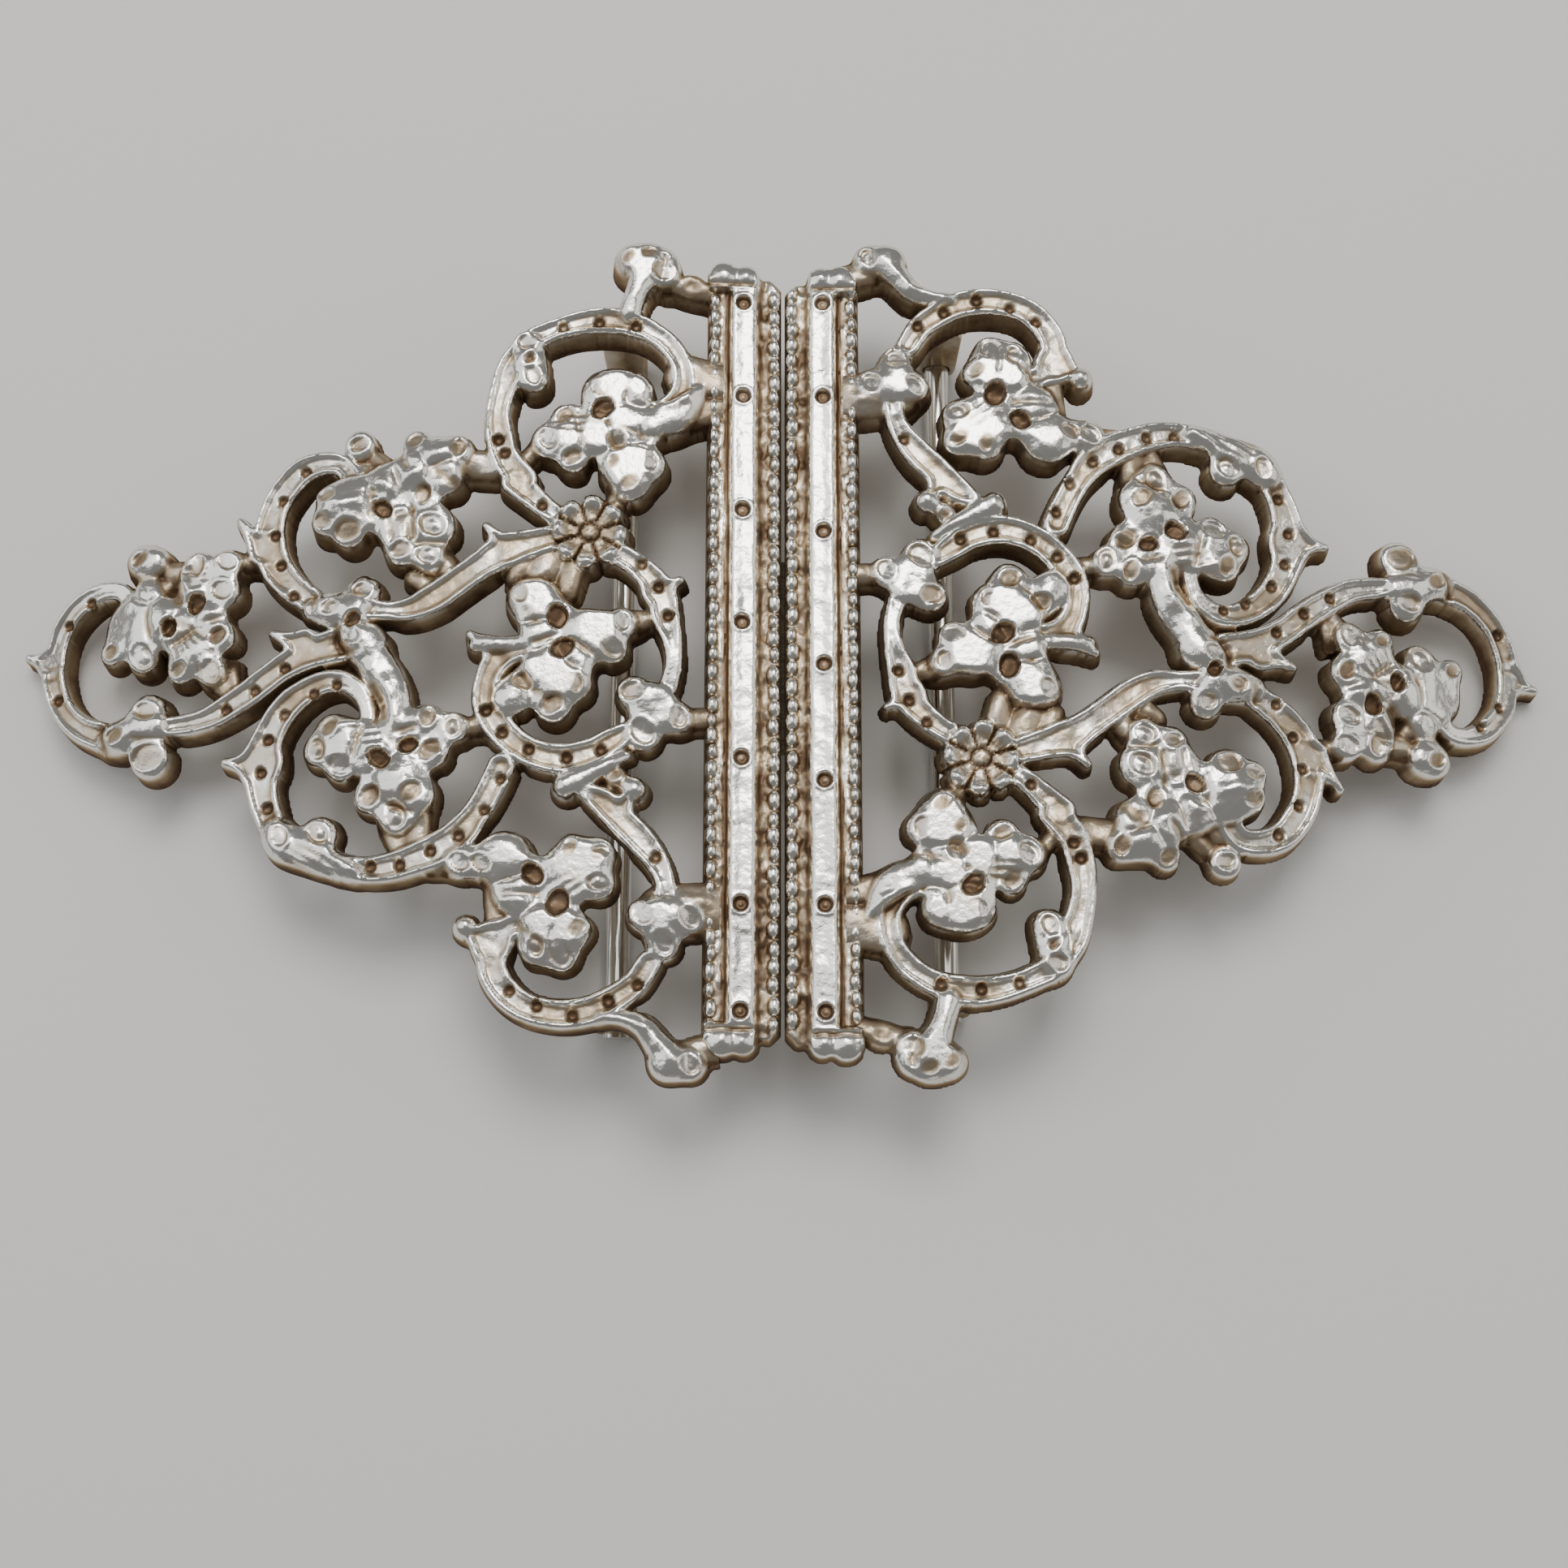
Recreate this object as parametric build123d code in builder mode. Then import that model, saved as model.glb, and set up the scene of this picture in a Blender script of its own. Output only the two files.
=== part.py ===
from build123d import *
import os
from math import atan2, degrees, hypot, sqrt

os.makedirs("parts", exist_ok=True)

# Driving dimensions, in millimetres
# One half is cast left of the joint line X = 0. The other is the same casting turned by 180 degrees.

CAST_THICK = 2.3           # thickness of the openwork
CROWN_TOP = 8.88           # highest level of the arched top surface above the floor
CROWN_AT = 11.3            # distance of that level from the joint line
ARCH_RADIUS = 107.2        # each half is bent to this radius
CHANNEL_DEPTH = 0.45       # sunk floor of the scroll bands
RIM = 0.36                 # rim left standing beside a sunk floor
LEAF_RISE = 0.18           # leaves above the rims
LEAF_EDGE = 0.3            # shoulder left beside a raised leaf
NARROWEST = 0.12           # least half width of a band once it is drawn in
THORN_TIP = 0.2            # radius of a thorn's blunt point
SMALLEST_GAP = 3.0         # gaps of less area than this, in square millimetres, are cast shut

KNOB_SHARE = 0.86          # raised top of a knob, as a share of its radius
KNOB_RISE = 0.28           # knobs above the rims
KNOB_ROOT = 0.35           # depth to which a knob's top is rooted in the casting
PETAL_SHARE = 0.55         # crown of a petal, as a share of its radius
PETAL_RISE = 0.45
PETAL_ROOT = 0.25
LEAF_ROOT = 0.3
EYE_EASE = 0.03            # an eye is wider by this above the rims

ROSETTE_AT = (-11.7, 7.0)
ROSETTE_RADIUS = 2.3
PETALS = 8
PETAL_AT = 1.55            # from the middle of the rosette to the middle of a petal
PETAL_RADIUS = 0.48
BOSS_RADIUS = 0.55

BAR_OUTER = 4.6            # outer edge of the frame bar, from the joint line
BAR_INNER = 0.17           # inner edge, half of the gap at the joint
BAR_TOP = 23.9
BAR_FOOT = -23.6
BAND_OUTER = 3.2           # raised smooth band along the frame bar
BAND_INNER = 1.8
BAND_RISE = 0.3
BAND_ROOT = 0.3
BAND_DOT_AT = 2.6          # punched dots along that band
BAND_DOT_RADIUS = 0.45
BAND_DOT_DEPTH = 0.35
BAND_DOTS = [22.0, 15.8, 8.4, 1.3, -7.05, -15.75, -21.95]
WIDE_GROOVE = (1.75, 1.0)  # grooves along the frame bar: outer and inner edge
NARROW_GROOVE = (3.75, 3.4)
GROOVE_DEPTH = 0.4
BEAD_LINES = [(4.1, 0.35), (0.65, 0.4)]  # distance from the joint line, radius

BELT_BAR_RADIUS = 0.8
BELT_BAR_AT = 10.1         # from the joint line to the belt bar
BELT_BAR_PROUD = 0.3       # how far its ends stand past the lugs
LUG_RADIUS = 1.25
LUG_THICK = 1.7
LUGS_AT = [20.7, -21.7]    # under the top ring and under the foot ring
LUG_ROOT = 0.6             # depth to which a lug is rooted in the casting
FIT_GAP = 0.06             # between the belt bar and the bore of a lug

CLASP_WIDE = 7.0           # hidden clasp plate, across the joint
CLASP_LONG = 12.0
CLASP_THICK = 1.0
CLASP_CORNER = 0.8
SEAT_GAP = 0.1

# Limits that the cutting solids run past
HALF_REACH = 50.0
HALF_SPAN = 30.0
CUT_TALL = 30.0
ABOVE_ALL = 3.0

# Worked out from the sizes above
ARCH_CENTRE = CROWN_TOP - ARCH_RADIUS
BELT_BAR_LEVEL = LUG_RADIUS

# Scroll bands with a sunk floor between two rims
# Columns: x, y, width, at sections along the middle of the band
CHANNEL_BANDS = {
    "tip_ring": [
        (-41.2, -4.95, 1.9), (-43.2, -4.1, 1.65), (-44.6, -2.7, 1.6), (-45.4, -0.7, 1.7),
        (-45.4, 1.1, 1.6), (-44.8, 2.75, 1.5), (-43.6, 4.05, 1.45), (-42.2, 4.6, 1.25),
        (-41.0, 4.4, 1.2), (-40.4, 3.5, 1.3)],
    "tip_band": [
        (-38.2, -4.6, 1.2), (-36.6, -4.45, 1.4), (-35.1, -4.2, 1.5), (-33.6, -3.5, 1.7),
        (-31.9, -2.4, 1.8), (-30.3, -1.2, 1.8), (-28.6, -0.35, 2.0), (-26.8, 0.1, 2.2)],
    "mid_ring": [
        (-28.2, 2.7, 1.6), (-30.0, 4.1, 1.9), (-31.1, 5.6, 2.1), (-31.5, 7.3, 2.1),
        (-31.3, 8.9, 1.9), (-30.7, 10.2, 1.9), (-29.6, 11.4, 1.8), (-28.2, 11.85, 1.6),
        (-27.0, 11.6, 1.5), (-26.2, 10.5, 1.5)],
    "mid_band": [
        (-26.2, 2.3, 1.9), (-25.0, 2.25, 1.5), (-23.8, 2.15, 1.3), (-22.4, 2.25, 1.6),
        (-21.0, 2.9, 1.9), (-19.6, 3.9, 1.9), (-18.2, 4.9, 1.9), (-16.9, 5.75, 2.2),
        (-15.4, 6.2, 1.9), (-13.9, 6.6, 1.6)],
    "top_leg": [
        (-15.9, 10.3, 2.0), (-16.9, 11.7, 1.8), (-17.35, 13.2, 1.8), (-17.5, 14.7, 1.6),
        (-17.25, 16.2, 1.7), (-16.7, 17.7, 2.0), (-15.7, 19.2, 1.9)],
    "rose_band": [(-16.3, 10.2, 1.8), (-15.3, 9.3, 1.6), (-14.4, 8.5, 1.4), (-13.6, 7.9, 1.3)],
    "top_ring": [
        (-15.3, 19.6, 1.6), (-14.0, 20.2, 1.5), (-12.5, 20.65, 1.65), (-10.8, 20.8, 1.8),
        (-9.2, 20.5, 1.6), (-8.0, 19.95, 1.5), (-6.9, 19.0, 1.5), (-6.25, 17.8, 1.4),
        (-6.1, 16.6, 1.5), (-6.6, 15.4, 1.6), (-7.8, 14.7, 1.5), (-9.2, 14.8, 1.5)],
    "side_band": [
        (-10.6, 5.9, 1.5), (-9.3, 5.2, 1.5), (-8.1, 4.2, 1.7), (-7.3, 3.0, 1.9),
        (-7.05, 1.7, 1.8), (-6.65, 0.3, 1.3), (-6.5, -1.2, 1.1), (-6.8, -2.6, 1.2)],
    "core_ring": [
        (-14.2, -0.55, 1.4), (-15.8, -0.6, 1.3), (-17.0, -1.1, 1.7), (-17.6, -2.3, 1.6),
        (-17.6, -3.6, 1.8), (-17.0, -4.9, 1.9), (-15.9, -6.1, 1.8), (-14.6, -6.85, 1.8),
        (-13.0, -7.15, 1.9), (-11.4, -6.8, 1.8), (-10.2, -6.1, 1.7), (-9.2, -5.4, 1.3)],
    "low_band": [
        (-11.7, -9.0, 1.0), (-10.5, -9.8, 1.7), (-9.4, -10.9, 1.8), (-8.3, -12.0, 1.8),
        (-7.4, -13.2, 1.5), (-6.85, -14.4, 1.3), (-6.7, -15.8, 1.4)],
    "foot_ring": [
        (-14.6, -16.8, 1.2), (-15.9, -17.2, 1.5), (-16.7, -18.3, 1.7), (-16.7, -19.6, 1.8),
        (-15.9, -20.9, 1.75), (-14.6, -21.8, 1.7), (-12.8, -22.15, 1.75), (-11.1, -21.95, 1.75),
        (-9.7, -21.3, 1.7), (-8.5, -20.4, 1.6), (-7.7, -19.2, 1.5)],
    "lower_ring": [
        (-24.6, -4.9, 1.0), (-25.0, -3.3, 1.1), (-26.2, -2.2, 1.3), (-27.6, -2.2, 1.5),
        (-28.9, -2.85, 1.7), (-30.0, -3.9, 1.9), (-30.75, -5.3, 2.0), (-31.1, -6.7, 2.4),
        (-31.1, -8.1, 2.1), (-30.8, -9.5, 1.9), (-30.2, -11.0, 1.7)],
    "lower_band": [
        (-26.0, -13.4, 1.5), (-24.4, -13.65, 1.6), (-22.9, -13.5, 1.8), (-21.6, -13.1, 1.9),
        (-20.2, -12.5, 2.1), (-18.9, -11.6, 2.0), (-18.0, -10.4, 1.7), (-17.2, -9.0, 1.7),
        (-16.6, -7.6, 1.7)],
}

# Leaves and stems, full between their edges; the same columns
LEAF_BANDS = {
    "tip_leaf": [(-41.2, -5.05, 1.7), (-40.3, -5.0, 1.85), (-39.2, -4.6, 1.6), (-37.8, -4.55, 1.3)],
    "mid_leaf": [(-28.4, 2.45, 1.5), (-27.2, 2.3, 1.9), (-25.8, 2.3, 1.6)],
    "foot_tail": [
        (-10.6, -22.3, 0.8), (-9.2, -22.35, 0.9), (-8.0, -22.8, 1.3), (-7.1, -23.9, 1.6),
        (-6.4, -24.8, 2.1)],
    "lower_leaf": [
        (-30.1, -11.2, 1.7), (-29.4, -12.0, 2.1), (-28.0, -12.6, 2.0), (-26.6, -13.2, 1.7),
        (-25.2, -13.7, 1.3)],
    "link_strand": [
        (-25.4, 0.4, 2.2), (-24.4, -1.1, 2.3), (-23.5, -2.5, 2.3), (-23.0, -3.9, 2.0),
        (-23.1, -5.3, 2.2)],
    "core_wall": [(-18.3, 0.0, 1.2), (-16.8, -0.1, 1.0), (-15.0, 0.0, 1.0), (-13.5, 0.1, 1.0)],
    "core_leaf": [(-12.7, -8.7, 1.5), (-11.6, -8.2, 1.2), (-10.4, -7.55, 0.9), (-9.1, -6.8, 0.6)],
    "top_stem": [(-8.4, 24.2, 2.3), (-9.0, 22.9, 1.5), (-9.5, 21.3, 1.5)],
}

# Thorns; columns: tip x, tip y, root x, root y, root width
THORNS = [
    (-47.75, 1.05, -45.9, 0.5, 2.0),
    (-31.15, 1.1, -28.9, 0.2, 2.2),
    (-33.6, 8.6, -31.9, 6.4, 1.9),
    (-18.95, 0.7, -17.0, -0.5, 1.9),
    (-5.95, 4.05, -7.6, 3.2, 1.9),
    (-33.75, -6.85, -31.2, -7.1, 2.9),
    (-18.15, 7.6, -16.6, 5.8, 1.9),
    (-19.0, -17.0, -16.8, -18.0, 2.6),
    (-8.4, -8.6, -9.6, -10.2, 1.6),
]

# Webs that tie the scrolls together; columns: from x, from y, to x, to y, width
WEBS = [
    (-33.6, 5.9, -32.0, 5.9, 1.3), (-33.5, -0.6, -33.1, -2.4, 0.7), (-19.9, 11.6, -17.6, 11.4, 2.0),
    (-7.2, 23.5, -5.6, 23.3, 1.2), (-5.8, 23.3, -4.2, 22.7, 1.2), (-5.9, 17.2, -4.2, 16.8, 3.0),
    (-6.6, 14.6, -4.2, 15.2, 2.2), (-6.6, -4.6, -4.2, -4.5, 1.4), (-6.9, -16.1, -4.2, -16.0, 3.2),
    (-6.0, -24.6, -3.9, -24.0, 1.8), (-10.1, 9.6, -10.3, 8.4, 1.3), (-19.8, -5.1, -17.9, -5.0, 1.3),
    (-20.5, -13.2, -17.4, -13.3, 1.6), (-16.7, -14.4, -16.5, -17.2, 1.6),
    (-21.4, -10.0, -21.4, -12.6, 1.5), (-25.6, 12.3, -23.6, 10.8, 1.5), (-12.4, 5.3, -13.0, 3.2, 1.3),
    (-14.6, 4.4, -14.0, 5.8, 1.5), (-16.2, 4.2, -15.6, 5.4, 1.3), (-22.4, 4.4, -21.2, 3.4, 1.2),
    (-20.6, 5.4, -19.9, 4.4, 1.4), (-25.6, 11.6, -24.4, 10.0, 2.0), (-39.9, 5.9, -38.6, 4.4, 1.9),
    (-38.4, 5.6, -36.8, 5.4, 1.6), (-9.6, -8.3, -10.4, -9.2, 1.0), (-23.4, -11.0, -22.6, -12.6, 1.0),
    (-35.0, -1.2, -33.5, -2.6, 1.2), (-12.0, 1.0, -9.0, 1.4, 1.4), (-8.9, 1.4, -7.6, 1.7, 1.0),
    (-14.6, 13.2, -15.9, 11.6, 1.1),
]

# Knobs and petals; columns: x, y, radius, radius of the punched eye or 0 for none
KNOBS = {
    "tip_flower": [
        (-40.1, 2.1, 1.9, 0), (-41.4, 0.5, 0.8, 0.45), (-39.2, 0.05, 1.05, 0.7), (-38.2, 2.3, 1.5, 0),
        (-37.45, 1.65, 0.85, 0.5), (-37.0, 1.6, 1.3, 0), (-36.0, 0.2, 1.4, 0), (-34.6, -1.2, 0.95, 0.6),
        (-36.7, -1.0, 0.85, 0.45), (-34.3, 1.0, 1.05, 0.5), (-35.8, 3.1, 1.0, 0.6), (-34.2, 3.9, 1.1, 0.6),
        (-36.0, 5.6, 1.05, 0.55), (-34.0, 5.7, 0.95, 0.55), (-36.2, 4.3, 1.1, 0), (-39.8, 6.3, 1.05, 0.5),
        (-39.0, 6.2, 1.0, 0), (-39.2, 4.0, 1.0, 0), (-35.0, 2.2, 1.0, 0)],
    "tip_leaf": [(-40.5, -5.0, 0.95, 0.5), (-38.6, -3.55, 1.2, 0.6), (-38.3, -6.4, 1.25, 0.85)],
    "mid_flower": [
        (-26.2, 9.0, 1.9, 0), (-27.7, 9.4, 0.85, 0.5), (-27.9, 7.8, 0.85, 0.5), (-26.4, 7.2, 1.0, 0.7),
        (-24.3, 8.5, 1.3, 0.55), (-24.4, 10.3, 1.3, 0), (-23.2, 7.2, 1.4, 0), (-23.1, 5.9, 0.95, 0.5),
        (-21.4, 5.5, 1.0, 0.6), (-21.2, 7.4, 1.4, 0.7), (-21.9, 9.4, 1.0, 0.55), (-22.7, 10.9, 1.3, 0),
        (-21.1, 12.0, 1.2, 0), (-19.8, 12.3, 0.95, 0.5), (-22.5, 12.9, 0.8, 0.5), (-20.6, 10.6, 1.2, 0),
        (-26.1, 13.0, 1.0, 0.5)],
    "mid_leaf": [
        (-27.2, 2.35, 0.95, 0.5), (-25.3, 3.4, 1.05, 0.5), (-25.8, 1.5, 0.75, 0.45), (-25.8, 0.5, 1.0, 0.5)],
    "top_leaf": [(-15.8, 19.2, 0.95, 0.5), (-15.4, 17.0, 1.0, 0.5), (-15.6, 18.1, 1.0, 0.3)],
    "top_flower": [
        (-10.3, 16.1, 1.45, 0), (-11.2, 16.0, 1.2, 0.5), (-9.1, 16.0, 1.2, 0), (-11.0, 14.7, 1.1, 0.65),
        (-13.1, 13.0, 1.3, 0), (-14.3, 12.8, 1.1, 0.6), (-11.5, 13.2, 1.4, 0), (-13.3, 14.4, 0.85, 0.5),
        (-12.8, 11.6, 0.9, 0.5), (-10.1, 12.6, 1.1, 0.6), (-9.3, 10.9, 1.6, 0), (-8.1, 11.3, 1.0, 0.5),
        (-9.3, 9.9, 1.0, 0.5), (-10.3, 11.2, 0.9, 0.4), (-9.6, 13.7, 1.4, 0), (-8.1, 13.6, 1.0, 0)],
    "core_flower": [
        (-14.8, 2.4, 1.6, 0), (-15.7, 2.9, 0.85, 0.5), (-13.45, 1.5, 1.1, 0.65), (-11.4, 0.5, 1.6, 0),
        (-9.6, 1.2, 0.95, 0.5), (-10.2, -0.4, 0.95, 0.6), (-13.1, -0.5, 0.9, 0.65), (-13.7, -2.1, 1.9, 0),
        (-12.3, -2.6, 1.0, 0.5), (-13.6, -3.9, 1.1, 0.6), (-15.4, -2.5, 0.9, 0.55), (-12.4, -0.9, 1.2, 0),
        (-14.6, 0.4, 1.2, 0), (-16.2, -3.4, 1.2, 0)],
    "side_knobs": [
        (-8.9, -3.0, 1.0, 0.6), (-7.7, -3.9, 1.5, 0), (-8.3, -5.5, 1.15, 0.7), (-6.2, -4.6, 0.95, 0.55)],
    "low_thorn_knobs": [(-8.7, -9.0, 0.75, 0), (-9.9, -8.15, 0.6, 0.35), (-12.8, -8.8, 0.8, 0)],
    "gate_knobs": [
        (-8.1, -16.4, 0.95, 0.55), (-6.9, -16.6, 1.3, 0), (-6.9, -18.1, 1.0, 0.6), (-5.4, -16.6, 1.0, 0.55)],
    "foot_flower": [
        (-16.2, -13.1, 1.65, 0), (-17.5, -13.4, 0.9, 0.5), (-14.5, -14.1, 1.1, 0.6), (-12.0, -13.8, 1.9, 0),
        (-12.4, -12.6, 0.9, 0.5), (-10.7, -12.9, 1.0, 0.5), (-10.7, -14.6, 0.95, 0.55),
        (-13.0, -15.8, 1.1, 0.7), (-13.9, -17.2, 1.3, 0), (-12.7, -17.4, 1.2, 0), (-11.9, -17.3, 0.9, 0.5),
        (-12.8, -18.7, 1.05, 0.7), (-14.2, -18.3, 1.1, 0.5), (-15.6, -15.2, 1.3, 0), (-18.4, -17.1, 0.75, 0),
        (-18.8, -13.3, 1.0, 0.55)],
    "lower_flower": [
        (-26.0, -5.9, 1.5, 0), (-27.6, -6.4, 1.0, 0.55), (-26.9, -5.1, 0.9, 0.5), (-26.2, -7.4, 0.95, 0.6),
        (-24.4, -6.3, 1.6, 0), (-23.8, -7.1, 1.2, 0.6), (-24.3, -9.3, 1.05, 0.6), (-22.7, -10.5, 1.15, 0.7),
        (-21.8, -9.2, 1.4, 0.6), (-22.6, -8.3, 1.5, 0), (-22.1, -6.3, 1.1, 0.5), (-20.8, -6.6, 1.1, 0.6),
        (-21.0, -4.6, 0.85, 0.5), (-19.5, -5.2, 0.95, 0.6), (-21.9, -5.0, 1.1, 0)],
    "lower_leaf": [(-29.6, -11.6, 0.95, 0.55), (-27.3, -11.5, 1.1, 0.6)],
    "junction": [(-25.0, 0.0, 1.4, 0)],
    "top_knob": [
        (-8.9, 24.9, 1.25, 0), (-9.6, 24.9, 0.9, 0.4), (-8.3, 25.4, 0.9, 0.45), (-7.4, 24.0, 1.0, 0.6),
        (-7.4, 24.8, 0.8, 0.3)],
    "foot_knob": [(-6.6, -25.0, 1.2, 0), (-5.3, -25.2, 1.0, 0.5)],
}

# Rounded ends of the frame bar, two at each end with a notch between; columns: x, y, radius
BAR_CAPS = [(-3.85, 24.1, 0.75), (-2.45, 24.15, 0.7), (-3.7, -23.95, 0.75), (-2.55, -24.0, 0.7)]

ALL_KNOBS = [knob for group in KNOBS.values() for knob in group]


def arch_top(x):
    """Level of the arched top surface of the left half."""
    return ARCH_CENTRE + sqrt(ARCH_RADIUS**2 - (x + CROWN_AT)**2)


def band(rows, inset=0.0):
    """The flat outline of a tapering band with round ends, drawn in by an inset."""
    one_side = []
    other_side = []
    ends = []
    for i, (x, y, width) in enumerate(rows):
        before = rows[max(i - 1, 0)]
        after = rows[min(i + 1, len(rows) - 1)]
        along_x = after[0] - before[0]
        along_y = after[1] - before[1]
        run = hypot(along_x, along_y)
        half = max(width / 2 - inset, NARROWEST)
        along = (along_x / run * half, along_y / run * half)
        one_side.append((x - along[1], y + along[0]))
        other_side.append((x + along[1], y - along[0]))
        ends.append(((x - along[0], y - along[1]), (x + along[0], y + along[1])))
    with BuildSketch() as outline:
        with BuildLine():
            Spline(*one_side)
            ThreePointArc(one_side[-1], ends[-1][1], other_side[-1])
            Spline(*reversed(other_side))
            ThreePointArc(other_side[0], ends[0][0], one_side[0])
        make_face()
    return outline.sketch


def thorn(tip_x, tip_y, root_x, root_y, root_width):
    """The flat outline of a thorn, straight from its root to a blunt round point."""
    run = hypot(root_x - tip_x, root_y - tip_y)
    along_x = (root_x - tip_x) / run
    along_y = (root_y - tip_y) / run
    round_x = tip_x + along_x * THORN_TIP
    round_y = tip_y + along_y * THORN_TIP
    half = root_width / 2
    with BuildSketch() as outline:
        with BuildLine():
            Polyline(
                (round_x - along_y * THORN_TIP, round_y + along_x * THORN_TIP),
                (root_x - along_y * half, root_y + along_x * half),
                (root_x + along_y * half, root_y - along_x * half),
                (round_x + along_y * THORN_TIP, round_y - along_x * THORN_TIP),
                close=True,
            )
        make_face()
        with Locations((round_x, round_y)):
            Circle(THORN_TIP)
    return outline.sketch


def web(from_x, from_y, to_x, to_y, width):
    """The flat outline of a straight web with round ends."""
    turn = degrees(atan2(to_y - from_y, to_x - from_x))
    with BuildSketch() as outline:
        with Locations(((from_x + to_x) / 2, (from_y + to_y) / 2)):
            SlotCenterToCenter(hypot(to_x - from_x, to_y - from_y), width, rotation=turn)
    return outline.sketch


def discs(rows):
    """The flat outline of many discs; columns: x, y, radius."""
    by_radius = {}
    for x, y, radius in rows:
        by_radius.setdefault(round(radius, 3), []).append((x, y))
    with BuildSketch() as outline:
        for radius, centres in by_radius.items():
            with Locations(*centres):
                Circle(radius)
    return outline.sketch


def bar_strip(outer, inner):
    """The flat outline of a strip along the frame bar, between two distances from the joint."""
    with BuildSketch() as outline:
        with Locations((-(outer + inner) / 2, (BAR_TOP + BAR_FOOT) / 2)):
            Rectangle(outer - inner, BAR_TOP - BAR_FOOT)
    return outline.sketch


def arched_layer(flat, below, above):
    """What stands over a flat outline, between two levels beside the arched top surface."""
    with BuildPart() as layer:
        with BuildSketch(Plane.XY.offset(-CUT_TALL)):
            add(flat)
        extrude(amount=2 * CUT_TALL)
        with BuildSketch(Plane.XZ):
            with Locations((-CROWN_AT, ARCH_CENTRE)):
                Circle(ARCH_RADIUS + above)
                Circle(ARCH_RADIUS - below, mode=Mode.SUBTRACT)
            with Locations((-HALF_REACH / 2, 0)):
                Rectangle(HALF_REACH, 2 * CUT_TALL, mode=Mode.INTERSECT)
        extrude(amount=HALF_SPAN, both=True, mode=Mode.INTERSECT)
    return layer.part


# Knobs, petals and eyes as discs
knob_discs = discs([(x, y, radius) for x, y, radius, _ in ALL_KNOBS] + [(*ROSETTE_AT, ROSETTE_RADIUS)])
eye_discs = discs([(x, y, eye) for x, y, _, eye in ALL_KNOBS if eye])
eased_eyes = discs([(x, y, eye + EYE_EASE) for x, y, _, eye in ALL_KNOBS if eye])

# Outline of the openwork, pierced right through
all_bands = {**CHANNEL_BANDS, **LEAF_BANDS}
with BuildSketch() as openwork_outline:
    add([band(rows) for rows in all_bands.values()])
    add([thorn(*row) for row in THORNS])
    add([web(*row) for row in WEBS])
    add(knob_discs)
    add(bar_strip(BAR_OUTER, BAR_INNER))
    add(discs(BAR_CAPS))

whole = openwork_outline.sketch.faces().sort_by(SortBy.AREA)[-1]
real_gaps = [gap for gap in whole.inner_wires() if Face(gap).area > SMALLEST_GAP]
pierced = Face(whole.outer_wire(), real_gaps)
print("outlines", len(openwork_outline.sketch.faces()), "gaps", len(real_gaps), "area", round(pierced.area, 1))

# Sunk floors of the scroll bands, which stop at the leaves, knobs and frame bar, and the punched eyes
with BuildSketch() as sunk_floors:
    add([band(rows, RIM) for rows in CHANNEL_BANDS.values()])
    add([band(rows) for rows in LEAF_BANDS.values()], mode=Mode.SUBTRACT)
    add(knob_discs, mode=Mode.SUBTRACT)
    add(bar_strip(BAR_OUTER, BAR_INNER), mode=Mode.SUBTRACT)
    add(eye_discs)

# Raised leaves
with BuildSketch() as raised_leaves:
    add([band(rows, LEAF_EDGE) for rows in LEAF_BANDS.values()])
    add(eased_eyes, mode=Mode.SUBTRACT)

# Raised tops of the knobs, and the rosette's petals round its boss
with BuildSketch() as knob_tops:
    add(discs([(x, y, radius * KNOB_SHARE) for x, y, radius, _ in ALL_KNOBS]))
    with Locations(ROSETTE_AT):
        Circle(BOSS_RADIUS)
        with PolarLocations(PETAL_AT, PETALS):
            Circle(PETAL_RADIUS)
    add(eased_eyes, mode=Mode.SUBTRACT)

# Crowns of the petals that have no eye
with BuildSketch() as petal_crowns:
    add(discs([(x, y, radius * PETAL_SHARE) for x, y, radius, eye in ALL_KNOBS if not eye]))
    add(eased_eyes, mode=Mode.SUBTRACT)

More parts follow.
